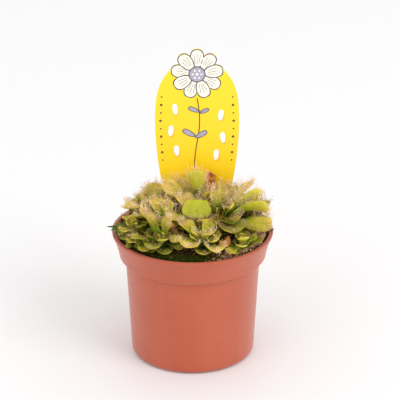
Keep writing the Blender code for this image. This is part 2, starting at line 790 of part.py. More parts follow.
def weed_blades():
    """The foot, the heading and the length of each blade of the weed sprig."""
    x, y = WEED_ROOT
    foot = np.array([x, y, soil_height(x, y) + WEED_HEIGHT - 0.0008])
    draw = random.Random(97)
    blades = []
    for number in range(WEED_BLADES):
        turn = math.radians(180 + 38 * (number - (WEED_BLADES - 1) / 2) + draw.uniform(-8, 8))
        climb = math.radians(draw.uniform(16, 40))
        heading = np.array([math.cos(turn) * math.cos(climb), math.sin(turn) * math.cos(climb),
                            math.sin(climb)])
        blades.append((foot, heading, draw.uniform(0.0042, 0.0064)))
    return blades


def build_weed(material):
    """A small sprig of pointed blades that leans out over the rim."""
    x, y = WEED_ROOT
    level = soil_height(x, y)
    stem = turned("weed_sprig", [
        (0.0, level + WEED_HEIGHT), (WEED_STEM_RADIUS * 0.8, level + WEED_HEIGHT - 0.0006),
        (WEED_STEM_RADIUS, level - WEED_DEPTH + 0.0004), (0.0, level - WEED_DEPTH)], 6, material)
    moved(stem, x, y)
    apply_boolean(stem, "UNION", [weed_blade(*form) for form in weed_blades()])
    keep_main_body(stem)


def weed_blade(foot, heading, length):
    """A flat pointed blade."""
    side = np.cross(heading, np.array([0.0, 0.0, 1.0]))
    side = side / np.linalg.norm(side)
    out = np.cross(side, heading)
    outline = [(0.0, 0.25), (0.5, 0.9), (1.0, 0.15)]
    half_wide = 0.0009
    half_thick = 0.0003
    points = []
    for lift in (half_thick, -half_thick):
        points += [foot + heading * (a * length) + side * (w * half_wide) + out * lift for a, w in outline]
        points += [foot + heading * (a * length) - side * (w * half_wide) + out * lift
                   for a, w in reversed(outline)]
    count = 2 * len(outline)
    faces = [tuple(range(count)), tuple(range(2 * count - 1, count - 1, -1))]
    for k in range(count):
        after = (k + 1) % count
        faces.append((k, k + count, after + count, after))
    return add_object("weed_blade", points, faces)


def main():
    clear_scene()
    terracotta = make_material("pot_plastic", (0.52, 0.125, 0.067), 0.42)
    peat = make_material("peat", (0.022, 0.012, 0.007), 0.95)
    green = make_material("leaf_green", (0.42, 0.43, 0.07), 0.5)
    brown = make_material("withered", (0.42, 0.17, 0.04), 0.8)
    weed = make_material("weed_green", (0.13, 0.25, 0.03), 0.6)
    yellow = make_material("tag_plastic", (0.99, 0.70, 0.03), 0.35)
    build_pot(terracotta)
    build_soil(peat)
    leaves = place_leaves()
    for rosette in ROSETTES:
        build_rosette(rosette, leaves[rosette.name], green)
    for name, x, y, leaf in WITHERED:
        build_withered(name, x, y, leaf, brown)
    build_weed(weed)
    tag_solid("tag", 0.0, yellow)


main()
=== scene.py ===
"""The looks of the potted sundew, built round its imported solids.

Metres, +Z up. The origin is the middle of the pot's foot, and +Y is the back, where the tag stands.
The leaves follow the rules, seeds and tries of the solids, so each fine leaf lies on its solid one.
"""
import math
import random
from dataclasses import dataclass, replace

import bmesh
import bpy
import numpy as np
from mathutils import Matrix, Vector, noise


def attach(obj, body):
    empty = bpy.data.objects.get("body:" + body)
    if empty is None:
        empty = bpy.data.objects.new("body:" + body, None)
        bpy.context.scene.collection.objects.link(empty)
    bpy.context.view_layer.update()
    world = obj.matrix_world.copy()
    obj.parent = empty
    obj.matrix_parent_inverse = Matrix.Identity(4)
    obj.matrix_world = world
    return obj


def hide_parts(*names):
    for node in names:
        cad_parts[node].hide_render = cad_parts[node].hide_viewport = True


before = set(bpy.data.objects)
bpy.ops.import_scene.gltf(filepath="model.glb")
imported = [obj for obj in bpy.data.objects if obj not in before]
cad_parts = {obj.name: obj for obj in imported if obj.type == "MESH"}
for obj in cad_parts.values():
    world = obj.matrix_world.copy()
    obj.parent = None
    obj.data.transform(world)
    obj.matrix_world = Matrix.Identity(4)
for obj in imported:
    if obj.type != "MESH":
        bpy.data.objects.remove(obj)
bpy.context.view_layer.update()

# Pot
RIM_RADIUS = 0.045
POT_HEIGHT = 0.0735
LIP_HEIGHT = 0.0015
LIP_WIDTH = 0.001
BAND_TOP_RADIUS = 0.0442
BAND_BOTTOM_RADIUS = 0.0411
BAND_FLARE = (0.0006, 0.0035)
BAND_BOTTOM = POT_HEIGHT - 0.0142
SHOULDER_HEIGHT = 0.002
WALL_TOP_RADIUS = 0.0377
BASE_RADIUS = 0.0347
BASE_ROUNDING = 0.0028
FOOT_RADIUS = BASE_RADIUS - BASE_ROUNDING - 0.002
WALL = 0.0012
FLOOR = 0.0015
EDGE_ROUNDING = 0.00025
POT_SIDES = 168
DRAIN_COUNT = 6
DRAIN_TURN = math.pi / 48
DRAIN_RADIUS = 0.0035
DRAIN_RING_RADIUS = 0.0245
DRAIN_SIDES = 28
DRAIN_CUT = 0.01

# Soil and what lies on it
GAP = 0.0003
MOUTH_RADIUS = 0.0418
SOIL_LEVEL = POT_HEIGHT - 0.0018
SOIL_DOME = 0.003
SOIL_BUMP = 0.0007
SOIL_ROUGHNESS = 0.0005
SOIL_SIDES = 150
SOIL_RINGS = 56
PILE_ANGLE = -32
PILE_SPREAD = 20
PILE_REACH = 44
PILE_FROM = 0.034
MOSS_ANGLE = -94
MOSS_SPREAD = 18
MOSS_FRONT_TUFTS = 640
MOSS_EDGE_TUFTS = 460
MOSS_RIM_TUFTS = 9
MOSS_BLADES = 5
MOSS_HALF_WIDTH = 0.00012

# Leaves, as the solids have them
STALK_SHARE = 0.24
STALK_THICKNESS = 0.0013
BLADE_THICKNESS = 0.0007
WIDEST_AT = 0.8
CURL_FROM = 0.66
FOLD_FROM = 0.38
FOLD_TO = 0.68
PATH_STEPS = 30
CROWN_RADIUS = 0.0024
CROWN_TOP = 0.0026
YOUNG_LEAVES = 3
APRON_LEAVES = 5
APRON_HEIGHT = 0.0016
GOLDEN_ANGLE = 137.508
SEARCH_TRIES = 50
WITHERED_DEPTH = 0.0015

# Fine leaves, and the painted shade and light on leaves, hairs and drops
LEAF_ROWS = 22
LEAF_COLUMNS = 9
CROWN_SIDES = 14
YOUNG_CUP = 0.4
CANOPY_CELLS = 56
CANOPY_SPAN = 0.112
SHADE_HEIGHT = 0.011
SHADE_DEPTH = 0.0075
# Pockets as (centre, radius, depth): a positive depth paints shade, a negative one paints light
SHADE_POCKETS = [((-0.0225, -0.029, 0.0815), 0.0105, 0.8), ((0.0175, -0.0205, 0.0885), 0.0075, 0.85),
                 ((0.0165, -0.002, 0.083), 0.007, 0.9), ((0.031, -0.024, 0.08), 0.01, 0.6),
                 ((-0.031, 0.005, 0.083), 0.012, -0.95), ((-0.0105, 0.0005, 0.088), 0.01, -0.8),
                 ((0.027, -0.003, 0.096), 0.011, -0.8), ((0.002, -0.029, 0.08), 0.01, -0.6)]
# Painted shade: ramps that multiply the colour of leaves (DEPTH_SHADE) and of hairs and drops (HAIR_SHADE)
# by their painted light level
DEPTH_SHADE = [(0.0, (0.16, 0.2, 0.03)), (0.5, (0.54, 0.68, 0.28)), (1.0, (1.0, 1.0, 1.0))]
HAIR_SHADE = [(0.0, (0.12, 0.18, 0.02)), (0.4, (0.58, 0.62, 0.24)), (0.85, (1.0, 1.0, 1.0))]

# Hairs
HAIRS_FROM = 0.45
FOLDED_HAIRS_FROM = 0.2
HAIRS_TO = 0.985
AREA_STEPS = 60
HAIRS_PER_AREA = 1.45e6
EDGE_HAIR_SPACING = 0.00032
CREASE_HAIRS = 200
HAIR_RINGS = 3
HAIR_RADIUS = 0.00006
DEW_RADIUS = 0.00018

# Weed sprig at the left edge
WEED_X, WEED_Y = -0.0392, 0.0005
WEED_SHIFT = (-0.0012, -0.0052, -0.001)
WEED_BLADES = 9
WEED_HEIGHT = 0.0042
WEED_STEM_RADIUS = 0.00063
WEED_ROWS = 8

# Tag and its print, from the tag's middle line; turns are in degrees
TAG_X = 0.0026
TAG_FRONT = 0.0222
PRINT_GAP = 0.00002
PRINT_LIFT = 0.00003
FLOWER_MIDDLE = (0.0, 0.1575)
FLOWER_RADIUS = 0.0146
FLOWER_PETALS = 9
PETAL_FROM = 0.0036
PETAL_HALF_WIDTH = 0.0047
PETAL_EDGE = 0.00045
VEIN_HALF_WIDTH = 0.00011
STEM_HALF_WIDTH = 0.0003
LEAF_EDGE = 0.00035
STEM_LEAVES = [((0.0012, 0.1352), 158, 0.0066), ((0.0012, 0.1344), 24, 0.006),
               ((-0.001, 0.1205), 152, 0.008), ((-0.001, 0.1196), 30, 0.0076)]
PRINT_DROPS = [(-0.0118, 0.1335, 8), (-0.015, 0.1205, -6), (-0.0112, 0.1085, 5),
               (0.0128, 0.13, -8), (0.0148, 0.1165, 7), (0.0104, 0.106, -5)]
INKS = {
    "grey": ((0.065, 0.05, 0.075), (0.085, 0.068, 0.095)),
    "cream": ((0.9, 0.86, 0.72), (0.96, 0.92, 0.8)),
    "lilac": ((0.38, 0.35, 0.44), (0.46, 0.43, 0.52)),
    "white": ((0.93, 0.93, 0.92), (0.98, 0.98, 0.97)),
    "brown": ((0.13, 0.055, 0.015), (0.19, 0.085, 0.025)),
    "orange": ((0.95, 0.42, 0.02), (0.98, 0.5, 0.03)),
}

# Studio: the camera and the lights look a little above the origin; angles are in degrees
CAMERA_PLACE = (0.0, -1.089, 0.577)
CAMERA_LENS = 193.06
CAMERA_DOWN = 24.04
CAMERA_TURN = -0.217
LIGHTS_AIM = (0.0, 0.0, 0.07)
LIGHTS = (("key", (1.7, -1.4, 1.8), 1.4, 26.5), ("fill", (-1.4, -1.6, 1.3), 1.6, 8.0))
FLOOR_DROP = 0.0002


@dataclass(frozen=True)
class Leaf:
    """One leaf, by its own measures; angles are in degrees."""
    azimuth: float
    rise: float
    droop: float
    length: float
    width: float
    curl: float = 0.0
    roll: float = 0.0
    fold: float = 0.0
    cup: float = 0.3
    root_height: float = 0.0


@dataclass(frozen=True)
class Rosette:
    """A crown and its leaves; x, y and height say where the leaves spring from."""
    name: str
    x: float
    y: float
    height: float
    size: float
    fillers: int
    seed: int
    leaves: tuple


ROSETTES = (
    Rosette("rosette_tall", 0.0044, 0.013, 0.08, 0.017, 5, 31, (
        Leaf(-128, 80, -4, 0.0255, 0.0092, roll=30), Leaf(148, 52, 40, 0.02, 0.0125, roll=-44),
        Leaf(176, 40, 14, 0.027, 0.0115, roll=-34), Leaf(28, 58, 20, 0.02, 0.01),
        Leaf(-12, 74, 8, 0.02, 0.008),
    )),
    Rosette("rosette_right", 0.015, -0.002, 0.0785, 0.02, 4, 11, (
        Leaf(-28, 10, 16, 0.031, 0.0155, roll=10), Leaf(-6, 38, 60, 0.0285, 0.0145, roll=-50),
        Leaf(14, 46, 42, 0.028, 0.0145, roll=-46), Leaf(34, 52, 34, 0.029, 0.0112, roll=-18),
        Leaf(76, 46, 34, 0.024, 0.0105, roll=24), Leaf(-62, 10, 16, 0.028, 0.0145, roll=-6),
        Leaf(-96, 18, 34, 0.024, 0.0135), Leaf(118, 70, 18, 0.019, 0.008),
    )),
    Rosette("rosette_centre", 0.0024, -0.0015, 0.0785, 0.018, 6, 23, (
        Leaf(92, 75, 0, 0.0268, 0.0176, fold=164, cup=0.03, root_height=-0.001),
        Leaf(-145, 30, 44, 0.02, 0.014, curl=46), Leaf(-62, 10, 12, 0.014, 0.01),
        Leaf(150, 44, 44, 0.02, 0.013), Leaf(100, 54, 60, 0.018, 0.014),
    )),
    Rosette("rosette_front", 0.005, -0.0268, 0.0765, 0.0155, 8, 57, (
        Leaf(-120, 36, 66, 0.0175, 0.0116, curl=40), Leaf(-64, 22, 34, 0.018, 0.0108, roll=-14),
        Leaf(-166, 26, 44, 0.018, 0.01, curl=30), Leaf(-24, 24, 30, 0.0175, 0.0096),
        Leaf(140, 46, 40, 0.017, 0.01), Leaf(60, 50, 30, 0.016, 0.0096),
    )),
    Rosette("rosette_left", -0.0165, -0.0256, 0.0765, 0.0155, 8, 43, (
        Leaf(128, 46, 30, 0.022, 0.0124, roll=30), Leaf(-118, 14, 20, 0.0165, 0.0104),
        Leaf(-66, 16, 22, 0.0165, 0.01), Leaf(-178, 14, 16, 0.018, 0.01, roll=12),
        Leaf(60, 48, 30, 0.018, 0.0096), Leaf(-14, 32, 40, 0.014, 0.0088),
    )),
    Rosette("rosette_middle", -0.015, -0.006, 0.078, 0.0155, 8, 47, (
        Leaf(-160, 46, 44, 0.019, 0.0108, roll=24), Leaf(-100, 50, 50, 0.016, 0.0096),
        Leaf(-60, 34, 40, 0.015, 0.0096), Leaf(120, 54, 30, 0.017, 0.0096),
    )),
    Rosette("rosette_back_left", -0.0225, 0.012, 0.077, 0.016, 8, 61, (
        Leaf(-172, 34, 44, 0.0165, 0.0104), Leaf(-120, 40, 50, 0.018, 0.0104, roll=20),
        Leaf(110, 34, 26, 0.017, 0.01, roll=-20), Leaf(60, 52, 34, 0.02, 0.01),
        Leaf(150, 26, 36, 0.019, 0.0104),
    )),
    Rosette("rosette_edge_right", 0.0325, 0.012, 0.0768, 0.014, 5, 89, (
        Leaf(-72, 14, 18, 0.018, 0.01), Leaf(0, 20, 30, 0.014, 0.0088),
        Leaf(60, 22, 30, 0.014, 0.0088),
    )),
    Rosette("rosette_edge_front", 0.0272, -0.028, 0.0758, 0.014, 6, 101, (
        Leaf(-30, 18, 26, 0.012, 0.008), Leaf(-100, 16, 22, 0.013, 0.0084),
        Leaf(-150, 20, 26, 0.013, 0.008),
    )),
    Rosette("rosette_rim_left", -0.0292, -0.024, 0.0758, 0.0125, 4, 131, (
        Leaf(-140, 14, 20, 0.011, 0.008), Leaf(-85, 14, 20, 0.0125, 0.0084),
        Leaf(170, 20, 26, 0.012, 0.008),
    )),
    Rosette("rosette_edge_left", -0.0308, -0.0098, 0.0765, 0.0128, 6, 113, (
        Leaf(-130, 16, 26, 0.014, 0.0088), Leaf(-80, 20, 26, 0.014, 0.0088),
        Leaf(120, 34, 30, 0.012, 0.008),
    )),
    Rosette("rosette_rear_left", -0.015, 0.0315, 0.0765, 0.015, 4, 71, (
        Leaf(95, 20, 26, 0.013, 0.0088), Leaf(150, 20, 30, 0.016, 0.0092),
    )),
    Rosette("rosette_rear_right", 0.017, 0.031, 0.0765, 0.015, 4, 83, (
        Leaf(80, 20, 26, 0.013, 0.0088), Leaf(30, 20, 30, 0.016, 0.0092),
    )),
)

# How often each leaf was varied before it stood clear of the others, in the order they were set.
# SEARCH_TRIES stands for a leaf that never did, and was left out.
TRIES = (
    0, 2, 3, 15, 14, 10, 13, 50, 1, 0, 0, 0, 0, 5, 9, 5, 2, 2, 50, 3, 0, 0, 12, 44, 2, 4, 50, 0, 0, 3, 18,
    1, 4, 0, 0, 50, 0, 9, 27, 4, 18, 50, 15, 11, 50, 14, 38, 46, 0, 19, 17, 50, 0, 6, 0, 10, 6, 0, 0, 50,
    0, 11, 6, 0, 0, 49, 23, 12, 40, 0, 0, 50, 28, 5, 10, 50, 50, 50, 8, 9, 0, 0, 0, 50, 9, 11, 0, 0, 50,
    10, 17, 0, 0, 50, 3, 0, 3, 5, 22, 13, 0, 0, 13, 7, 9, 0, 19, 46, 13, 21, 11, 20, 49, 8, 0, 45, 12, 22,
    0, 0, 29, 22, 22, 17, 15, 37, 0, 14, 30, 18, 1, 11, 2, 38, 4, 50, 9, 44, 20, 0, 9, 12, 39, 0, 32, 21,
    42, 4, 44, 31, 48, 50, 6, 5, 18, 50, 38, 27, 4, 50, 50, 47, 32, 11, 50, 5, 7, 50, 50, 27, 25, 23, 50,
    50, 50, 50, 50, 50, 49, 14, 45, 50, 20, 11, 12, 35, 28, 35, 2, 50, 50, 0, 50, 17, 29, 50, 3, 1, 50, 35,
    50, 46, 50, 50, 8, 0, 50, 50, 50, 50, 24, 41, 50, 26, 50, 0, 14, 50, 50, 50, 50, 50, 50, 50, 0, 50, 50,
    50, 50, 8, 50, 50, 50, 50, 21,
)

# Name, place, seed and form
WITHERED = (
    ("withered_leaf_1", 0.0088, 0.017, 895, Leaf(60, 84, 6, 0.0285, 0.0056, curl=30, cup=0.5)),
    ("withered_leaf_2", 0.016, -0.0215, 1615, Leaf(-76, 62, 100, 0.017, 0.0064, cup=0.4)),
    ("withered_leaf_3", -0.0085, -0.012, 865, Leaf(-120, 66, 60, 0.015, 0.0048, cup=0.5)),
)


# Small shapes and sums


def smooth_step(value):
    value = np.clip(value, 0.0, 1.0)
    return value * value * (3.0 - 2.0 * value)


def unit(vectors):
    return vectors / np.maximum(np.linalg.norm(vectors, axis=-1, keepdims=True), 1e-9)


def polar(radius, angle):
    return radius * math.cos(angle), radius * math.sin(angle)


def ring(radius, height, sides, x=0.0, y=0.0, turn=0.0):
    """Points evenly round an upright axis; turn is in shares of a side."""
    angles = math.tau * (np.arange(sides) + turn) / sides
    return [(x + radius * math.cos(angle), y + radius * math.sin(angle), height) for angle in angles]


def tube_faces(rings, sides, closed=False):
    """Four-sided faces between rings of points; closed also joins the last ring to the first."""
    faces = []
    for row in range(rings if closed else rings - 1):
        here, there = row * sides, (row + 1) % rings * sides
        for k in range(sides):
            after = (k + 1) % sides
            faces.append((here + k, here + after, there + after, there + k))
    return faces


def join_up(shapes):
    """Many shapes as one. A shape is its points, its faces and any more rows of numbers by point."""
    starts = np.cumsum([0] + [len(shape[0]) for shape in shapes]).tolist()
    faces = [[start + k for k in face] for start, shape in zip(starts, shapes) for face in shape[1]]
    stacks = zip(*[(shape[0], *shape[2:]) for shape in shapes])
    points, *numbers = (np.concatenate(rows) for rows in stacks)
    return points, faces, *numbers


def ball_shape():
    """A small round ball's points and triangles."""
    shape = bmesh.new()
    bmesh.ops.create_icosphere(shape, subdivisions=1, radius=1.0)
    points = np.array([tuple(vert.co) for vert in shape.verts])
    faces = np.array([[vert.index for vert in face.verts] for face in shape.faces])
    shape.free()
    return points, faces


def soil_height(x, y):
    """Height of the soil's uneven top."""
    share = np.minimum(np.hypot(x, y) / RIM_RADIUS, 1.0)
    bumps = np.sin(310 * x + 1.1) * np.cos(270 * y - 0.4) + 0.6 * np.sin(520 * y + 340 * x)
    return SOIL_LEVEL + SOIL_DOME * (1 - share * share) + SOIL_BUMP * bumps


def rough_soil(x, y):
    """The soil's top with its fine lumps, as mesh points have it."""
    lumps = noise.fractal(Vector((x * 260, y * 260, 3.0)), 0.8, 2.1, 5)
    return float(soil_height(x, y)) + SOIL_ROUGHNESS * lumps


# The form and the place of each leaf


def half_width(leaf, along):
    """Half the blade's width: a wedge from a narrow stalk to a broad, rounded, cut-off tip."""
    spread = STALK_SHARE + (1 - STALK_SHARE) * np.minimum(along / WIDEST_AT, 1.0) ** 1.4
    past = np.maximum(along - WIDEST_AT, 0.0) / (1 - WIDEST_AT)
    return leaf.width / 2 * spread * np.sqrt(np.maximum(1 - past ** 2.6, 0.0))


def thickness(along):
    return BLADE_THICKNESS + (STALK_THICKNESS - BLADE_THICKNESS) * (1 - smooth_step(along / 0.5))


def leaf_frames(leaf, root):
    """Points on the midrib, evenly spaced, and the directions across and out of the blade there."""
    along = np.linspace(0.0, 1.0, PATH_STEPS + 1)
    azimuth = math.radians(leaf.azimuth)
    side = np.array([-math.sin(azimuth), math.cos(azimuth), 0.0])
    bend = leaf.curl * smooth_step((along - CURL_FROM) / (1 - CURL_FROM)) - leaf.droop * along ** 1.6
    fold = leaf.fold * smooth_step((along - FOLD_FROM) / (FOLD_TO - FOLD_FROM))
    climb = np.radians(leaf.rise + bend + fold)
    tangents = np.stack([np.cos(climb) * math.cos(azimuth), np.cos(climb) * math.sin(azimuth),
                         np.sin(climb)], axis=1)
    normals = np.cross(tangents, side)
    roll = np.radians(leaf.roll * smooth_step(along / 0.7))[:, None]
    across = side * np.cos(roll) + normals * np.sin(roll)
    out = normals * np.cos(roll) - side * np.sin(roll)
    steps = np.concatenate([np.zeros((1, 3)), np.cumsum(tangents[:-1], axis=0)])
    return np.array(root) + steps * (leaf.length / PATH_STEPS), across, out


def blade_grid(leaf, frames, alongs, across, lift=0.0):
    """Points of the blade, by row along it and column across it, lifted off its middle surface."""
    place = alongs * PATH_STEPS
    low = np.minimum(place.astype(int), PATH_STEPS - 1)
    share = (place - low)[:, None]
    point, side, out = (table[low] + (table[low + 1] - table[low]) * share for table in frames)
    half = half_width(leaf, alongs)[:, None]
    height = leaf.cup * half * np.abs(across) ** 1.8 + lift
    return point[:, None] + side[:, None] * (half * across)[..., None] + out[:, None] * height[..., None]


def leaf_root(rosette, leaf):
    """A leaf springs from the crown a little way out from its middle."""
    x, y = polar(CROWN_RADIUS * 0.35, math.radians(leaf.azimuth))
    return rosette.x + x, rosette.y + y, rosette.height + leaf.root_height


def withered_root(x, y):
    return x, y, soil_height(x, y) - WITHERED_DEPTH


def varied(leaf, attempt, draw):
    """The leaf turned, raised and shortened a little, more so with each attempt."""
    turn = draw.uniform(-1, 1) * min(3.0 * attempt, 40.0)
    lift = draw.uniform(-0.6, 1) * min(2.0 * attempt, 40.0)
    shrink = 1 - 0.5 * attempt / SEARCH_TRIES
    return replace(leaf, azimuth=leaf.azimuth + turn, rise=min(max(leaf.rise + lift, 6.0), 88.0),
                   length=leaf.length * shrink, width=leaf.width * (0.3 + 0.7 * shrink))


def young_leaf(rosette, number):
    """One of the small upright leaves in the crown's middle."""
    return Leaf(GOLDEN_ANGLE * number + rosette.seed, 70 + 4 * number, -10,
                rosette.size * (0.46 - 0.06 * number), rosette.size * 0.2,
                curl=70, cup=0.45, root_height=0.0014)


def apron_leaf(rosette, number, draw):
    """One of the oldest leaves, which spring from low on the stem and hide the soil."""
    return Leaf(360 / APRON_LEAVES * number + 5 * rosette.seed, draw.uniform(12, 18), draw.uniform(14, 26),
                rosette.size * draw.uniform(0.85, 1.0), rosette.size * draw.uniform(0.54, 0.64),
                curl=draw.uniform(10, 50),
                root_height=soil_height(rosette.x, rosette.y) + APRON_HEIGHT - rosette.height)


def filler_leaf(rosette, number, draw):
    """One of the leaves that fill the crowd, steeper the later it comes."""
    share = number / max(rosette.fillers - 1, 1)
    return Leaf(GOLDEN_ANGLE * number + 7 * rosette.seed, 24 + 40 * share + draw.uniform(-6, 6),
                draw.uniform(16, 52), rosette.size * draw.uniform(0.8, 1.05),
                rosette.size * draw.uniform(0.44, 0.58), curl=draw.uniform(10, 70),
                roll=draw.uniform(-16, 16))


def leaf_order(draw):
    """Rosettes with a leaf each, in the order that they were set: chosen and young, apron, fillers."""
    for rosette in ROSETTES:
        for leaf in rosette.leaves:
            yield rosette, leaf
        for number in range(YOUNG_LEAVES):
            yield rosette, young_leaf(rosette, number)
    for number in range(APRON_LEAVES):
        for rosette in ROSETTES:
            yield rosette, apron_leaf(rosette, number, draw)
    for number in range(max(rosette.fillers for rosette in ROSETTES)):
        for rosette in ROSETTES:
            if number < rosette.fillers:
                yield rosette, filler_leaf(rosette, number, draw)


def place_leaves():
    """Every rosette's leaves by its name, each in the form in which it stood clear of the others."""
    draw = random.Random(5)
    placed = {rosette.name: [] for rosette in ROSETTES}
    for (rosette, leaf), tries in zip(leaf_order(draw), TRIES):
        trial = leaf
        for attempt in range(1, min(tries + 1, SEARCH_TRIES)):
            trial = varied(leaf, attempt, draw)
        if tries < SEARCH_TRIES:
            placed[rosette.name].append(trial)
    return placed


def canopy_cells(points):
    places = (points[..., :2] / CANOPY_SPAN + 0.5) * CANOPY_CELLS
    cells = np.clip(places.astype(int), 0, CANOPY_CELLS - 1)
    return cells[..., 0], cells[..., 1]


def clump_top():
    """How high the clump reaches over each cell of a square grid, smoothed a little."""
    top = np.full((CANOPY_CELLS, CANOPY_CELLS), SOIL_LEVEL)
    for rosette in ROSETTES:
        for leaf in PLACED[rosette.name]:
            frames = leaf_frames(leaf, leaf_root(rosette, leaf))
            points = blade_grid(leaf, frames, np.linspace(0.0, 1.0, 14), np.linspace(-1.0, 1.0, 7))
            np.maximum.at(top, canopy_cells(points), points[..., 2])
    for _ in range(2):
        top = sum(np.roll(top, (row, column), (0, 1)) for row in (-1, 0, 1) for column in (-1, 0, 1)) / 9
    return top


BALL_POINTS, BALL_FACES = ball_shape()
PLACED = place_leaves()
CANOPY = clump_top()


def painted_light_level(points):
    """Painted light level, 0 deep in the clump and 1 at its top: painted shade under higher leaves and low
    down away from the front, made darker or lighter again in the pockets.
    """
    below = CANOPY[canopy_cells(points)] - points[..., 2]
    near_top = 1 - smooth_step((below - 0.0005) / SHADE_DEPTH)
    high = smooth_step((points[..., 2] - POT_HEIGHT) / SHADE_HEIGHT)
    front = smooth_step((-points[..., 1] - 0.019) / 0.01)
    light = near_top * (0.3 + 0.7 * np.maximum(high, front))
    for centre, radius, depth in SHADE_POCKETS:
        away = np.linalg.norm(points - np.array(centre), axis=-1) / radius
        light = light * (1 - depth * np.exp(-away ** 2))
    return light


# Making pieces


def add_object(name, data):
    thing = bpy.data.objects.new(name, data)
    bpy.context.scene.collection.objects.link(thing)
    return thing


def edit_mesh(mesh, change):
    """Makes a change to a mesh in its editable form."""
    shape = bmesh.new()
    shape.from_mesh(mesh)
    change(shape)
    shape.to_mesh(mesh)
    shape.free()


def add_piece(name, points, faces, material, slot, replaced=(), smooth=True):
    """A mesh piece that rides on the part's one body."""
    mesh = bpy.data.meshes.new(name)
    mesh.from_pydata(np.asarray(points).tolist(), [], faces)
    mesh.update()
    if smooth:
        mesh.shade_smooth()
    mesh.materials.append(material)
    piece = add_object(name, mesh)
    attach(piece, "root")
    if replaced:
        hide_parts(*replaced)
    return piece


def give_numbers(piece, name, values):
    """Gives each point of a piece one number, or three from 0 to 1, that its material reads."""
    values = np.asarray(values, np.float32)
    if values.ndim == 1:
        piece.data.attributes.new(name, "FLOAT", "POINT").data.foreach_set("value", values)
    else:
        colours = np.ones((len(values), 4), np.float32)
        colours[:, :3] = np.clip(values, 0.0, 1.0)
        piece.data.attributes.new(name, "FLOAT_COLOR", "POINT").data.foreach_set("color", colours.ravel())


def outward(piece):
    """Turns all faces of a closed piece to point out."""
    edit_mesh(piece.data, lambda shape: bmesh.ops.recalc_face_normals(shape, faces=shape.faces))


class Paint:
    """A procedural material: short calls that add and join nodes and return their output sockets."""

    def __init__(self, name, colour, roughness, **sockets):
        self.material = bpy.data.materials.new(name)
        self.material.use_nodes = True
        self.material.diffuse_color = (*colour, 1.0)
        self.tree = self.material.node_tree
        self.shader = self.tree.nodes["Principled BSDF"]
        self.shader.inputs["Base Color"].default_value = (*colour, 1.0)
        self.shader.inputs["Roughness"].default_value = roughness
        for socket, value in sockets.items():
            self.shader.inputs[socket.replace("_", " ")].default_value = value
        self.place = self.add("ShaderNodeTexCoord").outputs["Object"]

    def add(self, kind, values=(), **settings):
        node = self.tree.nodes.new(kind)
        for name, value in settings.items():
            setattr(node, name, value)
        for name, value in dict(values).items():
            if isinstance(value, bpy.types.NodeSocket):
                self.tree.links.new(value, node.inputs[name])
            else:
                node.inputs[name].default_value = value
        return node

    def join(self, output, name):
        self.tree.links.new(output, self.shader.inputs[name])

    def coloured(self, output):
        """The finished material, with its colour joined."""
        self.join(output, "Base Color")
        return self.material

    def stretched(self, scales):
        return self.add("ShaderNodeMapping", {"Vector": self.place, "Scale": scales}).outputs["Vector"]

    def noise(self, scale, detail, vector=None, roughness=0.55):
        values = {"Vector": vector or self.place, "Scale": scale, "Detail": detail, "Roughness": roughness}
        return self.add("ShaderNodeTexNoise", values).outputs["Fac"]

    def cells(self, scale):
        return self.add("ShaderNodeTexVoronoi", {"Vector": self.place, "Scale": scale}).outputs["Distance"]

    def attribute(self, name, output):
        return self.add("ShaderNodeAttribute", attribute_name=name).outputs[output]

    def math(self, operation, first, second, third=0.5):
        node = self.add("ShaderNodeMath", {0: first, 1: second, 2: third}, operation=operation)
        return node.outputs["Value"]

    def span(self, value, low, high, to_low=0.0, to_high=1.0):
        values = {"Value": value, "From Min": low, "From Max": high, "To Min": to_low, "To Max": to_high}
        return self.add("ShaderNodeMapRange", values).outputs["Result"]

    def ramp(self, value, stops):
        """Colours by value; stops are (place, colour)."""
        node = self.add("ShaderNodeValToRGB", {"Fac": value})
        elements = node.color_ramp.elements
        while len(elements) < len(stops):
            elements.new(0.5)
        for element, (place, colour) in zip(elements, stops):
            element.position = place
            element.color = (*colour, 1.0)
        return node.outputs["Color"]

    def mix(self, share, first, second, blend="MIX"):
        """One colour over another; inputs 0, 6 and 7 are the node's share and its two colours."""
        below, above = (colour if isinstance(colour, bpy.types.NodeSocket) else (*colour, 1.0)
                        for colour in (first, second))
        return self.add("ShaderNodeMix", {0: share, 6: below, 7: above},
                        data_type="RGBA", blend_type=blend).outputs[2]

    def shaded(self, colour, light, stops):
        return self.mix(1.0, colour, self.ramp(light, stops), "MULTIPLY")

    def parts(self, name):
        """The three numbers of an attribute."""
        node = self.add("ShaderNodeSeparateColor", {"Color": self.attribute(name, "Color")})
        return node.outputs["Red"], node.outputs["Green"], node.outputs["Blue"]

    def uneven_gloss(self, scale, detail, low, high):
        self.join(self.span(self.noise(scale, detail), 0.3, 0.7, low, high), "Roughness")

    def bump(self, height, strength, distance):
        values = {"Height": height, "Strength": strength, "Distance": distance}
        before = self.shader.inputs["Normal"]
        if before.is_linked:
            values["Normal"] = before.links[0].from_socket
        self.join(self.add("ShaderNodeBump", values).outputs["Normal"], "Normal")


# Materials


def terracotta_plastic():
    """Moulded plastic: slightly cloudy colour, faint drag marks down the wall, fine grain."""
    skin = Paint("terracotta_plastic", (0.45, 0.09, 0.036), 0.42, Sheen_Weight=0.2, Sheen_Roughness=0.5)
    drag = skin.noise(70.0, 2.0, skin.stretched((1.0, 1.0, 0.06)))
    colour = skin.ramp(skin.noise(38.0, 4.0), [(0.3, (0.425, 0.074, 0.024)), (0.7, (0.47, 0.088, 0.034))])
    skin.uneven_gloss(420.0, 3.0, 0.36, 0.5)
    skin.bump(skin.noise(2600.0, 2.0), 0.1, 0.0002)
    skin.bump(drag, 0.08, 0.0006)
    return skin.coloured(skin.mix(skin.span(drag, 0.35, 0.75, 0.0, 0.25), colour, (0.56, 0.135, 0.065)))


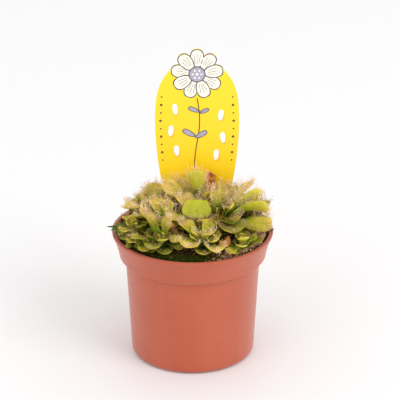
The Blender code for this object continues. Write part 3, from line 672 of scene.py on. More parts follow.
def peat(name, dark, light):
    """Grains from dark to light, with paler fibres among them."""
    skin = Paint(name, dark, 0.95, Specular_IOR_Level=0.08)
    grain = skin.noise(900.0, 6.0, roughness=0.7)
    fibre = skin.noise(700.0, 3.0, skin.stretched((1.0, 0.25, 1.0)))
    skin.bump(grain, 0.7, 0.0006)
    colour = skin.ramp(grain, [(0.3, dark), (0.62, light)])
    return skin.coloured(skin.mix(skin.span(fibre, 0.62, 0.72), colour, (0.2, 0.105, 0.045)))


def leaf_green():
    """Fleshy leaf: green stalk, yellow-green tip, a red flush and fine veins on the blade, darkened by
    painted shade deep in the clump.
    """
    skin = Paint("leaf_green", (0.18, 0.275, 0.014), 0.45, Specular_IOR_Level=0.14,
                 Subsurface_Weight=0.3, Subsurface_Scale=0.0016, Subsurface_Radius=(0.9, 1.0, 0.25))
    along, _, upper = skin.parts("leaf")
    tone, vein, light = skin.parts("tone")
    colour = skin.ramp(along, [(0.14, (0.04, 0.105, 0.006)), (0.42, (0.18, 0.275, 0.014)),
                               (0.66, (0.55, 0.525, 0.038)), (0.97, (0.8, 0.65, 0.12))])
    green_patches = skin.span(skin.noise(260.0, 4.0), 0.42, 0.66, 0.0, 0.4)
    colour = skin.mix(green_patches, colour, (0.33, 0.4, 0.025))
    yellow_patches = skin.span(skin.noise(120.0, 3.0), 0.46, 0.7, 0.0, 0.45)
    colour = skin.mix(yellow_patches, colour, (0.76, 0.6, 0.1))
    speckle = skin.span(skin.noise(1500.0, 3.0), 0.46, 0.6)
    flush = skin.math("MULTIPLY", speckle, skin.span(along, 0.45, 0.95, 0.0, 0.7))
    colour = skin.mix(skin.math("MULTIPLY", flush, upper), colour, (0.64, 0.27, 0.06))
    colour = skin.mix(skin.span(vein, 0.55, 0.95, 0.0, 0.22), colour, (0.2, 0.26, 0.015))
    colour = skin.shaded(colour, tone, [(0.0, (0.82, 0.87, 0.76)), (1.0, (1.18, 1.13, 1.05))])
    skin.uneven_gloss(600.0, 2.0, 0.32, 0.5)
    skin.bump(skin.cells(1500.0), 0.22, 0.0002)
    skin.bump(vein, 0.16, 0.0003)
    # Painted shade and light: the colour is multiplied by DEPTH_SHADE at the leaf's painted light level
    return skin.coloured(skin.shaded(colour, light, DEPTH_SHADE))


def pale_share(skin, edge, light):
    """How pale a hair is, most on a leaf's edge out in the open: a painted glow and glint that grow with
    the painted light level.
    """
    share = skin.math("MULTIPLY_ADD", edge, 0.45, 0.55)
    return skin.math("MULTIPLY", share, skin.math("POWER", light, 1.25))


def hair_stalk():
    """The hairs' stalks: green at the foot, tan to red at the tip; painted light makes the open ones
    paler, and painted shade darkens those deep in the clump.
    """
    skin = Paint("hair_stalk", (0.62, 0.33, 0.12), 0.45, Specular_IOR_Level=0.12)
    along, tone, edge = skin.parts("hair")
    light = skin.attribute("light", "Fac")
    # inner is the stalks' own colour; outer is the pale colour that painted light gives the open ones
    inner = skin.ramp(along, [(0.0, (0.16, 0.19, 0.008)), (0.45, (0.34, 0.22, 0.015)),
                              (1.0, (0.3, 0.06, 0.01))])
    outer = skin.ramp(along, [(0.0, (0.86, 0.68, 0.16)), (0.45, (1.0, 0.76, 0.36)),
                              (1.0, (1.0, 0.56, 0.32))])
    colour = skin.mix(pale_share(skin, edge, light), inner, outer)
    colour = skin.mix(skin.span(tone, 0.6, 1.0, 0.0, 0.3), colour, (0.9, 0.66, 0.24))
    return skin.coloured(skin.shaded(colour, light, HAIR_SHADE))


def dew():
    """Sticky drops over a gland that is tan to dark red, made clearer and paler in the open by a painted
    highlight, and darker deep in the clump by painted shade.
    """
    skin = Paint("dew", (0.8, 0.5, 0.22), 0.12, IOR=1.34, Specular_IOR_Level=0.3)
    tone, edge, _ = skin.parts("drop")
    light = skin.attribute("light", "Fac")
    colour = skin.ramp(tone, [(0.0, (0.13, 0.015, 0.004)), (0.4, (0.38, 0.07, 0.01)),
                              (0.7, (0.74, 0.36, 0.08)), (1.0, (1.0, 0.88, 0.62))])
    # Painted highlight: drops in the open are mixed toward a pale glint colour
    pale = skin.math("MULTIPLY", pale_share(skin, edge, light), 0.85)
    colour = skin.mix(pale, colour, (1.0, 0.86, 0.64))
    return skin.coloured(skin.shaded(colour, light, HAIR_SHADE))


def mottled(name, base, roughness, scale, detail, stops, relief, **sockets):
    """One noise gives both the colour and the relief, which is a (strength, distance)."""
    skin = Paint(name, base, roughness, **sockets)
    shades = skin.noise(scale, detail)
    skin.bump(shades, *relief)
    return skin.coloured(skin.ramp(shades, stops))


def dead_leaf():
    stops = [(0.25, (0.17, 0.055, 0.015)), (0.5, (0.62, 0.25, 0.05)), (0.75, (0.92, 0.56, 0.18))]
    return mottled("dead_leaf", (0.42, 0.17, 0.05), 0.7, 420.0, 5.0, stops, (0.6, 0.0006),
                   Subsurface_Weight=0.3, Subsurface_Scale=0.0012)


def fresh_green(name, dark, light):
    return mottled(name, dark, 0.75, 500.0, 4.0, [(0.3, dark), (0.7, light)], (0.4, 0.0004),
                   Specular_IOR_Level=0.1)


def yellow_plastic():
    """Plastic sheet: almost even yellow, a little deeper lower down by painted shade from the plants, with
    a fine satin grain.
    """
    skin = Paint("tag_plastic", (1.0, 0.69, 0.008), 0.34)
    # Painted shade: the yellow deepens towards the tag's lower part, near the plants
    height = skin.add("ShaderNodeSeparateXYZ", {"Vector": skin.place}).outputs["Z"]
    up = skin.span(height, 0.085, 0.17)
    colour = skin.ramp(up, [(0.0, (1.0, 0.655, 0.004)), (1.0, (1.0, 0.72, 0.016))])
    skin.uneven_gloss(900.0, 3.0, 0.3, 0.42)
    skin.bump(skin.noise(3000.0, 2.0), 0.06, 0.0001)
    patches = skin.span(skin.noise(60.0, 3.0), 0.3, 0.7, 0.0, 0.1)
    return skin.coloured(skin.mix(patches, colour, (1.0, 0.76, 0.03)))


def print_ink(name, colour, lighter):
    """Ink on the tag, very slightly uneven."""
    skin = Paint(name, colour, 0.4)
    skin.bump(skin.noise(3000.0, 2.0), 0.05, 0.0001)
    return skin.coloured(skin.ramp(skin.noise(700.0, 3.0), [(0.3, colour), (0.7, lighter)]))


# Pot


def smooth_profile(corners, rounding, steps=5):
    """Rounds the corners of an open line of (radius, height) points."""
    corners = [np.array(corner) for corner in corners]
    line = [corners[0]]
    for before, here, after in zip(corners[:-2], corners[1:-1], corners[2:]):
        back, ahead = np.linalg.norm(before - here), np.linalg.norm(after - here)
        reach = min(rounding, 0.45 * back, 0.45 * ahead)
        start = here + (before - here) / back * reach
        end = here + (after - here) / ahead * reach
        for share in np.linspace(0, 1, steps):
            line.append((1 - share) ** 2 * start + 2 * share * (1 - share) * here + share ** 2 * end)
    return line + [corners[-1]]


def pot_line():
    """Outer side from the lip down, the foot, then the inner side back up to the lip."""
    lip_bottom = POT_HEIGHT - LIP_HEIGHT
    flare_radius = BAND_BOTTOM_RADIUS + BAND_FLARE[0]
    flare_height = BAND_BOTTOM + BAND_FLARE[1]
    shoulder = BAND_BOTTOM - SHOULDER_HEIGHT
    foot = [(BASE_RADIUS - BASE_ROUNDING * (1 - math.cos(angle)), BASE_ROUNDING * (1 - math.sin(angle)))
            for angle in np.radians(np.linspace(0, 90, 7))]
    return smooth_profile([
        (RIM_RADIUS - LIP_WIDTH, POT_HEIGHT), (RIM_RADIUS, POT_HEIGHT), (RIM_RADIUS, lip_bottom),
        (BAND_TOP_RADIUS, lip_bottom - 0.0004), (flare_radius, flare_height),
        (BAND_BOTTOM_RADIUS, BAND_BOTTOM), (WALL_TOP_RADIUS, shoulder), *foot,
        (FOOT_RADIUS, 0.0), (FOOT_RADIUS, FLOOR), (FOOT_RADIUS + 0.0016, FLOOR),
        (BASE_RADIUS - WALL, FLOOR + BASE_ROUNDING - 0.0006), (WALL_TOP_RADIUS - WALL, shoulder + GAP),
        (BAND_BOTTOM_RADIUS - WALL, BAND_BOTTOM + GAP), (flare_radius - WALL, flare_height),
        (BAND_TOP_RADIUS - WALL, lip_bottom), (BAND_TOP_RADIUS - WALL, POT_HEIGHT),
        (RIM_RADIUS - LIP_WIDTH, POT_HEIGHT),
    ], EDGE_ROUNDING)


def build_pot(material):
    line = pot_line()[:-1]
    points = [point for radius, height in line for point in ring(radius, height, POT_SIDES)]
    faces = tube_faces(len(line), POT_SIDES, closed=True)
    pot = add_piece("pot_shell", points, faces, material, "pot", ["pot"])
    outward(pot)
    pot.data.set_sharp_from_angle(angle=math.radians(40))


def cylinders(name, middles, radius, depth, sides):
    """Upright cylinders about the given points, as one object."""
    shape = bmesh.new()
    for middle in middles:
        bmesh.ops.create_cone(shape, cap_ends=True, segments=sides, radius1=radius, radius2=radius,
                              depth=depth, matrix=Matrix.Translation(middle))
    mesh = bpy.data.meshes.new(name)
    shape.to_mesh(mesh)
    shape.free()
    return add_object(name, mesh)


def build_pot_foot(material):
    """The pot's flat floor, with its drain holes."""
    foot = cylinders("pot_foot", [(0.0, 0.0, FLOOR / 2)], FOOT_RADIUS, FLOOR, POT_SIDES)
    angles = [math.tau * (number + 0.5) / DRAIN_COUNT + DRAIN_TURN for number in range(DRAIN_COUNT)]
    middles = [(*polar(DRAIN_RING_RADIUS, angle), 0.0) for angle in angles]
    drains = cylinders("drains", middles, DRAIN_RADIUS, DRAIN_CUT, DRAIN_SIDES)
    modifier = foot.modifiers.new("drains", "BOOLEAN")
    modifier.operation = "DIFFERENCE"
    modifier.object = drains
    bpy.context.view_layer.update()
    foot.data = bpy.data.meshes.new_from_object(foot.evaluated_get(bpy.context.evaluated_depsgraph_get()))
    foot.modifiers.clear()
    bpy.data.objects.remove(drains, do_unlink=True)
    foot.data.materials.clear()
    foot.data.materials.append(material)
    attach(foot, "root")


# Soil, crumbs and moss


def build_soil():
    top_radius = MOUTH_RADIUS - GAP
    side = [(BASE_RADIUS - BASE_ROUNDING - 0.001, FLOOR + GAP),
            (BASE_RADIUS - WALL - GAP, FLOOR + BASE_ROUNDING),
            (WALL_TOP_RADIUS - WALL - GAP, BAND_BOTTOM - SHOULDER_HEIGHT),
            (BAND_BOTTOM_RADIUS - WALL - GAP, BAND_BOTTOM + 0.0006),
            (top_radius - 0.0004, SOIL_LEVEL - 0.0016)]
    points = [(0.0, 0.0, FLOOR + GAP)]
    for radius, height in side:
        points += ring(radius, height, SOIL_SIDES)
    for number in range(SOIL_RINGS):
        around = ring(top_radius * (1 - number / SOIL_RINGS), 0.0, SOIL_SIDES)
        points += [(x, y, rough_soil(x, y)) for x, y, _ in around]
    points.append((0.0, 0.0, rough_soil(0.0, 0.0)))
    faces = [[1 + k for k in face] for face in tube_faces(len(side) + SOIL_RINGS, SOIL_SIDES)]
    top, last = len(points) - 1, len(points) - 1 - SOIL_SIDES
    for k in range(SOIL_SIDES):
        after = (k + 1) % SOIL_SIDES
        faces += [(0, 1 + after, 1 + k), (last + k, last + after, top)]
    add_piece("soil_surface", points, faces, peat("peat", (0.012, 0.006, 0.003), (0.06, 0.03, 0.014)),
              "soil", ["soil"])


def chunk(centre, size, draw):
    """A small irregular lump of peat: a dented, stretched ball."""
    turn = Matrix.Rotation(draw.uniform(0, math.tau), 3, Vector((draw.gauss(0, 1), draw.gauss(0, 1), 1.0)))
    stretch = np.array((1.0, draw.uniform(0.45, 0.9), draw.uniform(0.35, 0.7)))
    dented = [Vector(corner * stretch) * size * draw.uniform(0.62, 1.0) for corner in BALL_POINTS]
    return [tuple(Vector(centre) + turn @ corner) for corner in dented], BALL_FACES.tolist()


def piled(x, y):
    """1 where the loose peat is piled against the wall, falling to 0 inward and to both sides."""
    aside = (math.degrees(math.atan2(y, x)) - PILE_ANGLE) / PILE_REACH
    to_wall = (math.hypot(x, y) - PILE_FROM) / (MOUTH_RADIUS - PILE_FROM)
    return max(0.0, 1 - aside ** 2) * math.sqrt(max(0.0, to_wall))


def anywhere(draw):
    radius = (MOUTH_RADIUS - 0.0012) * math.sqrt(draw.random())
    return polar(radius, draw.uniform(0, math.tau))


def right_front(draw):
    """Along the rim at the front right, where the photograph shows loose peat."""
    angle = math.radians(draw.gauss(PILE_ANGLE, PILE_SPREAD))
    return polar(draw.uniform(0.035, MOUTH_RADIUS - 0.0007), angle)


def build_crumbs(name, count, seed, sizes, heap, material, where):
    """Loose crumbs on the soil, heaped up to a height; where(draw) gives a place."""
    draw = random.Random(seed)
    chunks = []
    for _ in range(count):
        x, y = where(draw)
        size = draw.uniform(*sizes)
        lift = 0.35 * size + heap * draw.random() * piled(x, y)
        chunks.append(chunk((x, y, rough_soil(x, y) + lift), size, draw))
    add_piece(name, *join_up(chunks), material, "soil", smooth=False)


def moss_feet(draw):
    """Places for tufts: most at the front, some all round the soil's edge, a few on the right rim."""
    places = []
    for _ in range(MOSS_FRONT_TUFTS):
        angle = math.radians(draw.gauss(MOSS_ANGLE, MOSS_SPREAD))
        places.append(polar(min(draw.uniform(0.035, 0.0412), MOUTH_RADIUS - 0.0008), angle))
    for _ in range(MOSS_EDGE_TUFTS):
        angle = draw.uniform(0, math.tau)
        places.append(polar(draw.uniform(0.0372, MOUTH_RADIUS - 0.0006), angle))
    feet = [Vector((x, y, rough_soil(x, y) - 0.0002)) for x, y in places]
    for _ in range(MOSS_RIM_TUFTS):
        inward = draw.uniform(0.0, 0.0016)
        feet.append(Vector((RIM_RADIUS - inward, draw.gauss(-0.002, 0.0008), POT_HEIGHT)))
    return feet


def build_moss():
    """Dark tufts of short pointed blades."""
    draw = random.Random(211)
    blades = []
    for foot in moss_feet(draw):
        for _ in range(MOSS_BLADES):
            lean = Vector((draw.gauss(0, 0.5), draw.gauss(0, 0.5), 1.0)).normalized()
            side = lean.cross(Vector((draw.gauss(0, 1), draw.gauss(0, 1), 0.2))).normalized()
            side *= MOSS_HALF_WIDTH
            rise = lean * draw.uniform(0.0008, 0.0024)
            widest = foot + rise * 0.6
            corners = (foot - side, foot + side, widest + side * 4 / 3, widest - side * 4 / 3, foot + rise)
            blades.append(([tuple(corner) for corner in corners], [(0, 1, 2, 3), (3, 2, 4)]))
    green = fresh_green("moss_green", (0.014, 0.024, 0.002), (0.09, 0.115, 0.007))
    add_piece("moss", *join_up(blades), green, "weed")


# Leaves


def leaf_surface(leaf, frames, alongs, across, side, phases):
    """Points on the upper (side 1) or lower (side -1) skin of a leaf, with its slight waves."""
    half_thick = thickness(alongs)[:, None] * 0.42 * np.sqrt(np.maximum(1 - 0.9 * across ** 2, 0.0))
    wave = 0.00016 * np.sin(9.0 * alongs[:, None] + phases[0]) * across
    wave = wave + 0.00012 * np.sin(17.0 * alongs[:, None] + phases[1]) * across ** 2
    rib = -0.0001 * np.exp(-(across / 0.24) ** 2) * (1 - smooth_step(alongs[:, None] / 0.95))
    return blade_grid(leaf, frames, alongs, across, side * half_thick + wave + rib)


def leaf_faces(sides):
    """Faces round a leaf's skin, row by row, and over its two ends."""
    faces = tube_faces(LEAF_ROWS, sides)
    for end in (0, (LEAF_ROWS - 1) * sides):
        for k in range(LEAF_COLUMNS - 1):
            corners = dict.fromkeys((k, k + 1, sides - k - 1, (sides - k) % sides))
            faces.append([end + corner for corner in corners])
    return faces


def fine_leaf(leaf, root, draw):
    """A leaf's points, faces and the numbers its material reads."""
    frames = leaf_frames(leaf, root)
    alongs = 0.992 * np.linspace(0, 1, LEAF_ROWS) ** 0.86
    across = np.sin(np.linspace(-math.pi / 2, math.pi / 2, LEAF_COLUMNS))
    phases = (draw.uniform(0, math.tau), draw.uniform(0, math.tau))
    upper = leaf_surface(leaf, frames, alongs, across, 1, phases)
    lower = leaf_surface(leaf, frames, alongs, across[1:-1], -1, phases)[:, ::-1]
    points = np.concatenate([upper, lower], axis=1)
    young = leaf.cup > YOUNG_CUP
    start, spread = (0.5, 0.25) if leaf.fold else (0.55, 0.4) if young else (0.0, 1.0)
    shares = np.concatenate([across, across[1:-1][::-1]])
    numbers = np.zeros(points.shape)
    numbers[..., 0] = alongs[:, None] * spread + start
    numbers[..., 1] = (shares + 1) / 2
    numbers[:, 1:LEAF_COLUMNS - 1, 2] = 1.0
    numbers[:, [0, LEAF_COLUMNS - 1], 2] = 0.5
    tones = np.empty(points.shape)
    tones[..., 0] = draw.uniform(0.0, 1.0)
    tones[..., 1] = 0.5 - 0.5 * np.cos(np.abs(shares) ** 0.8 * math.pi * 6)
    # The third tone is the painted light level; young leaves get a fixed, fairly light one
    tones[..., 2] = 0.8 if young else painted_light_level(points)
    faces = leaf_faces(points.shape[1])
    return points.reshape(-1, 3), faces, numbers.reshape(-1, 3), tones.reshape(-1, 3)


def crown_shape(rosette):
    """The short stem under a rosette, with the numbers that a leaf has."""
    foot = float(soil_height(rosette.x, rosette.y)) - 0.003
    top = rosette.height + CROWN_TOP
    line = [(0.0002, top), (CROWN_RADIUS * 0.5, top - 0.0002), (CROWN_RADIUS * 0.8, top - 0.0009),
            (CROWN_RADIUS * 0.95, top - 0.0024), (CROWN_RADIUS * 0.9, foot)]
    points = []
    for number, (radius, height) in enumerate(line):
        points += ring(radius, height, CROWN_SIDES, rosette.x, rosette.y, 0.3 * number)
    count = len(points)
    faces = tube_faces(len(line), CROWN_SIDES)
    faces += [list(range(CROWN_SIDES)), list(range(count - CROWN_SIDES, count))]
    # The stem's tones give it a middling painted light level
    return points, faces, np.tile((0.1, 0.5, 0.0), (count, 1)), np.tile((0.5, 0.0, 0.5), (count, 1))


def build_leaves(rosette, material):
    draw = random.Random(rosette.seed + 1)
    shapes = [fine_leaf(leaf, leaf_root(rosette, leaf), draw) for leaf in PLACED[rosette.name]]
    points, faces, numbers, tones = join_up(shapes + [crown_shape(rosette)])
    name = rosette.name.replace("rosette", "leaves")
    piece = add_piece(name, points, faces, material, "leaves", [rosette.name])
    outward(piece)
    give_numbers(piece, "leaf", numbers)
    give_numbers(piece, "tone", tones)


def build_withered(name, x, y, seed, leaf, material):
    """A dead leaf, shrunken and twisted along the line of its solid."""
    draw = random.Random(seed)
    shrunk = replace(leaf, cup=leaf.cup * 1.6, roll=draw.uniform(20, 40))
    points, faces, numbers, _ = fine_leaf(shrunk, withered_root(x, y), draw)
    noise.seed_set(seed)
    crumple = np.array([noise.noise_vector(Vector(point) * 420) for point in points.tolist()])
    points = points + crumple * 0.0012 * numbers[:, :1]
    outward(add_piece(name.replace("leaf", "blade"), points, faces, material, "withered", [name]))


# Hairs and dew


def hair_places(leaf, draw):
    """Where the hairs stand on a leaf: pairs (along, across) on its upper face, and round its edge."""
    start = FOLDED_HAIRS_FROM if leaf.fold else HAIRS_FROM
    alongs = np.linspace(start, HAIRS_TO, AREA_STEPS)
    area = float(np.sum(2 * half_width(leaf, alongs)) * leaf.length * (HAIRS_TO - start) / AREA_STEPS)
    inner = []
    while len(inner) < area * HAIRS_PER_AREA:
        along = draw.uniform(start, 0.98)
        if draw.random() < float(half_width(leaf, along)) / (leaf.width / 2):
            inner.append((along, draw.uniform(-0.9, 0.9)))
    edge = []
    for along in np.arange(start, 0.97, EDGE_HAIR_SPACING / leaf.length):
        for sign in (-1, 1):
            edge.append((min(along + draw.uniform(0.0, 0.02), HAIRS_TO), sign * draw.uniform(0.93, 1.0)))
    for across in np.arange(-0.9, 0.91, EDGE_HAIR_SPACING / float(half_width(leaf, 0.93))):
        edge.append((draw.uniform(0.955, HAIRS_TO), across))
    return np.array(inner), np.array(edge)


def surface_at(leaf, frames, pairs):
    """Points on the blade and its outward, sideways and lengthwise directions there."""
    alongs, across = pairs[:, 0], pairs[:, 1:2]
    lift = thickness(alongs)[:, None] * 0.3
    here = blade_grid(leaf, frames, alongs, across, lift)[:, 0]
    ahead = unit(blade_grid(leaf, frames, np.minimum(alongs + 0.02, 0.999), across, lift)[:, 0] - here)
    side = unit(blade_grid(leaf, frames, alongs, across + 0.06, lift)[:, 0] - here)
    return here, unit(np.cross(ahead, side)), side, ahead


def face_hairs(leaf, frames, pairs, rng):
    """Each hair's foot, starting direction, bend, length, thickness and whether it is an edge hair."""
    feet, out, side, ahead = surface_at(leaf, frames, pairs)
    count, across = len(pairs), pairs[:, 1:2]
    aims = unit(out + side * across * 0.5 + ahead * 0.25 + rng.normal(0, 0.22, (count, 3)))
    bends = rng.normal(0, 0.16, (count, 3))
    lengths = rng.uniform(0.0008, 0.0015, (count, 1)) * (1 + 0.9 * across ** 2)
    sizes = rng.uniform(0.8, 1.15, (count, 1))
    return feet, aims, bends, lengths * hair_scale(leaf), sizes, np.zeros((count, 1))


def edge_hairs(leaf, frames, pairs, rng):
    """The long hairs that stand away from the edge and, at the tip, ahead of it."""
    feet, out, side, ahead = surface_at(leaf, frames, pairs)
    count, across = len(pairs), pairs[:, 1:2]
    to_tip = smooth_step((pairs[:, :1] - 0.9) / 0.08) * (1 - np.abs(across) * 0.5)
    away = unit(side * np.sign(across) * (1 - to_tip) + ahead * (0.25 + 1.2 * to_tip))
    aims = unit(away + out * rng.uniform(0.15, 0.9, (count, 1)) + rng.normal(0, 0.14, (count, 3)))
    bends = out * rng.uniform(0.05, 0.4, (count, 1)) + rng.normal(0, 0.08, (count, 3))
    lengths = rng.uniform(0.0018, 0.0034, (count, 1)) * hair_scale(leaf)
    return feet, aims, bends, lengths, rng.uniform(0.9, 1.4, (count, 1)), np.ones((count, 1))


def crease_hairs(leaf, frames, rng):
    """Hairs that stand on the outer side of a folded leaf, along its crease."""
    count = CREASE_HAIRS
    pairs = np.stack([rng.uniform(FOLD_FROM - 0.06, FOLD_FROM + 0.14, count),
                      rng.uniform(-0.95, 0.95, count)], axis=1)
    feet, out, side, _ = surface_at(leaf, frames, pairs)
    aims = unit(side * pairs[:, 1:2] * 0.5 - out + rng.normal(0, 0.25, (count, 3)))
    return (feet, aims, rng.normal(0, 0.15, (count, 3)), rng.uniform(0.0018, 0.0036, (count, 1)),
            rng.uniform(0.9, 1.3, (count, 1)), np.ones((count, 1)))


def hair_scale(leaf):
    """Small leaves have shorter hairs."""
    return 0.55 + 0.45 * min(1.0, leaf.length / 0.014)


def hair_mesh(feet, aims, bends, lengths, sizes):
    """Three-sided tapering stalks: their points, faces, how far up each point is, and their tips."""
    shares = np.linspace(0.0, 1.0, HAIR_RINGS)
    helper = np.where(np.abs(aims[:, 2:3]) < 0.9, np.array([0.0, 0.0, 1.0]), np.array([1.0, 0.0, 0.0]))
    first = unit(np.cross(aims, helper))
    second = np.cross(aims, first)
    points = []
    for share in shares:
        centre = feet + (aims * share + bends * share ** 2) * lengths
        radius = HAIR_RADIUS * (1 - 0.45 * share) * sizes
        for along_first, along_second, _ in ring(1.0, 0.0, 3):
            points.append(centre + radius * (first * along_first + second * along_second))
    points = np.stack(points, axis=1)
    starts = np.arange(len(feet))[:, None, None] * 3 * HAIR_RINGS
    faces = (starts + np.array(tube_faces(HAIR_RINGS, 3))).reshape(-1, 4)
    ups = np.tile(np.repeat(shares, 3), len(feet))
    return points.reshape(-1, 3), faces.tolist(), ups, feet + (aims + bends) * lengths


def in_hollow(rosette, points):
    """1 low in the middle of a rosette, 0 away from it."""
    from_crown = np.hypot(points[:, 0] - rosette.x, points[:, 1] - rosette.y)
    low = 1 - smooth_step((points[:, 2] - rosette.height - 0.006) / 0.006)
    return low * (1 - smooth_step((from_crown - 0.006) / 0.012))


def all_hairs(rosette, rng):
    """The hairs of one rosette's leaves, each kind of measure stacked."""
    draw = random.Random(rosette.seed + 2)
    hairs = []
    for leaf in PLACED[rosette.name]:
        frames = leaf_frames(leaf, leaf_root(rosette, leaf))
        inner, edge = hair_places(leaf, draw)
        hairs += [face_hairs(leaf, frames, inner, rng), edge_hairs(leaf, frames, edge, rng)]
        if leaf.fold:
            hairs.append(crease_hairs(leaf, frames, rng))
    return [np.concatenate(measure) for measure in zip(*hairs)]


def build_hairs(rosette, stalk, drop):
    """The sticky hairs on one rosette, fewer in its hollow and low down, with their drops."""
    rng = np.random.default_rng(rosette.seed)
    hairs = all_hairs(rosette, rng)
    hollow = in_hollow(rosette, hairs[0])
    low = 1 - smooth_step((hairs[0][:, 2] - POT_HEIGHT - 0.004) / 0.01)
    kept = rng.uniform(0, 1, len(hollow)) > np.maximum(0.6 * hollow, 0.8 * low * (1 - hairs[5][:, 0]))
    feet, aims, bends, lengths, sizes, edge = (measure[kept] for measure in hairs)
    lengths = lengths * (1 + 0.35 * smooth_step((feet[:, 2:3] - POT_HEIGHT - 0.01) / 0.01))
    points, faces, ups, tips = hair_mesh(feet, aims, bends, lengths, sizes)
    piece = add_piece(rosette.name.replace("rosette", "hairs"), points, faces, stalk, "leaves")
    tones, edge, rows = rng.uniform(0, 1, len(feet)), edge[:, 0], 3 * HAIR_RINGS
    # Painted light for hairs and drops: painted shade in a rosette's hollow, with some painted light kept
    # at the clump's outer edge
    outer = smooth_step((np.hypot(feet[:, 0], feet[:, 1]) - 0.033) / 0.008)
    light = np.maximum(painted_light_level(feet) * (1 - 0.85 * hollow[kept]), 0.5 * outer)
    give_numbers(piece, "hair", np.stack([ups, np.repeat(tones, rows), np.repeat(edge, rows)], axis=1))
    give_numbers(piece, "light", np.repeat(light, rows))
    radii = DEW_RADIUS * sizes * rng.uniform(0.7, 1.2, (len(feet), 1))
    build_dew(rosette.name.replace("rosette", "dew"), tips, radii, tones, edge, light, drop)


def build_dew(name, tips, radii, tones, edge, light, material):
    """A drop at the tip of each hair."""
    rows = len(BALL_POINTS)
    points = (tips[:, None] + BALL_POINTS * radii[:, None]).reshape(-1, 3)
    faces = (np.arange(len(tips))[:, None, None] * rows + BALL_FACES).reshape(-1, 3).tolist()
    piece = add_piece(name, points, faces, material, "leaves")
    numbers = np.stack([tones, edge, np.zeros(len(tips))], axis=1)
    give_numbers(piece, "drop", np.repeat(numbers, rows, axis=0))
    give_numbers(piece, "light", np.repeat(light, rows))


# Weed


def weed_blade(foot, number, draw):
    """A folded pointed blade: rows of its left edge, midrib and right edge."""
    turn = math.radians(180 + 38 * (number - (WEED_BLADES - 1) / 2) + draw.uniform(-8, 8))
    climb = math.radians(draw.uniform(16, 40))
    length = 1.3 * draw.uniform(0.0042, 0.0064)
    heading = unit(np.array([*polar(math.cos(climb), turn), 0.35 * math.sin(climb)]))
    side = unit(np.cross(heading, (0.0, 0.0, 1.0)))
    out = np.cross(side, heading)
    points = []
    for share in np.linspace(0.0, 1.0, WEED_ROWS):
        width = 0.0014 * math.sin(math.pi * (0.12 + 0.88 * share)) ** 0.7 if share < 1 else 0.0
        middle = foot + heading * (length * share) + out * (0.0006 * math.sin(math.pi * share))
        edge = middle + out * 0.0002
        points += [edge - side * width, middle, edge + side * width]
    faces = [(k, k + 1, k + 4, k + 3) for row in range(WEED_ROWS - 1) for k in (3 * row, 3 * row + 1)]
    return points, faces


def build_weed(material):
    """A sprig of blades on a short stem, which leans over the rim."""
    level = float(soil_height(WEED_X, WEED_Y))
    stem = []
    for share in np.linspace(0, 1, 6):
        height = level - 0.001 + (WEED_HEIGHT + 0.001) * share
        stem += ring(WEED_STEM_RADIUS, height, 8, WEED_X + 0.0001 * math.sin(9 * share), WEED_Y)
    foot = np.array([WEED_X, WEED_Y, level + WEED_HEIGHT - 0.0008]) + np.array(WEED_SHIFT)
    draw = random.Random(97)
    blades = [weed_blade(foot, number, draw) for number in range(WEED_BLADES)]
    points, faces = join_up([(stem, tube_faces(6, 8))] + blades)
    add_piece("weed_blades", points, faces, material, "weed", ["weed_sprig"])


# Tag print: flat shapes given as (x, z) outlines


def face_front(shape):
    bmesh.ops.triangulate(shape, faces=shape.faces)
    for face in shape.faces:
        if face.normal.y > 0:
            face.normal_flip()


def add_print(name, outlines, levels, material):
    """Printed shapes just off the tag's front; a higher level lies over a lower one."""
    patches = []
    for outline, level in zip(outlines, levels):
        y = TAG_FRONT - PRINT_GAP - PRINT_LIFT * level
        patches.append(([(TAG_X + x, y, z) for x, z in outline], [range(len(outline))]))
    piece = add_piece(name, *join_up(patches), material, "tag", smooth=False)
    edit_mesh(piece.data, face_front)


def turned(centre, angle, along, aside):
    """Points along and beside a heading from a centre."""
    cos, sin = math.cos(angle), math.sin(angle)
    return np.stack([centre[0] + along * cos - aside * sin, centre[1] + along * sin + aside * cos], axis=1)


def petal(centre, angle, inner, outer, half_wide, grow=0.0):
    """A rounded petal's outline about a centre, widened by grow."""
    shares = np.linspace(0, 1, 26)
    turns = math.pi * (shares - 0.5)
    reach = inner + (outer - inner) * (0.5 + 0.5 * np.sin(turns))
    wide = half_wide * np.cos(turns) ** 0.75 * (0.62 + 0.38 * shares)
    wide[[0, -1]] = 0.0
    reach, wide = np.append(reach, reach[-2:0:-1]), np.append(wide, -wide[-2:0:-1])
    reach = reach + grow * np.where(reach > (inner + outer) / 2, 1, -1)
    return turned(centre, angle, reach, wide + grow * np.sign(wide))


def disc(centre, radius, sides=36):
    return [(x, z) for x, z, _ in ring(radius, 0.0, sides, *centre)]


def build_flower_print(inks):
    """A ring of white petals with fine veins, about a dotted middle."""
    middle, edges, fills, veins, steps = FLOWER_MIDDLE, [], [], [], []
    for number in range(FLOWER_PETALS):
        angle = math.pi / 2 + math.tau * number / FLOWER_PETALS
        shape = (middle, angle, PETAL_FROM, FLOWER_RADIUS, PETAL_HALF_WIDTH)
        steps.append(4 * (number % 2))
        edges.append(petal(*shape))
        fills.append(petal(*shape, -PETAL_EDGE))
        for turn in (-0.16, 0.0, 0.16):
            start, end = 0.0062, FLOWER_RADIUS - 0.0028 - 0.0024 * abs(turn)
            sides = VEIN_HALF_WIDTH * np.array([-1, 1, 1, -1])
            veins.append(turned(middle, angle + turn, np.array([start, start, end, end]), sides))
    steps = np.array(steps)
    add_print("print_petal_edges", edges, 1 + steps, inks["grey"])
    add_print("print_petals", fills, 2 + steps, inks["cream"])
    add_print("print_petal_veins", veins, 3 + np.repeat(steps, 3), inks["grey"])
    add_print("print_flower_ring", [disc(middle, 0.0047)], [10], inks["grey"])
    add_print("print_flower_middle", [disc(middle, 0.0042)], [11], inks["lilac"])
    dots = [disc(place, 0.00055, 12) for place in disc(middle, 0.0024, 6)] + [disc(middle, 0.0008, 14)]
    add_print("print_flower_dots", dots, [12] * len(dots), inks["white"])


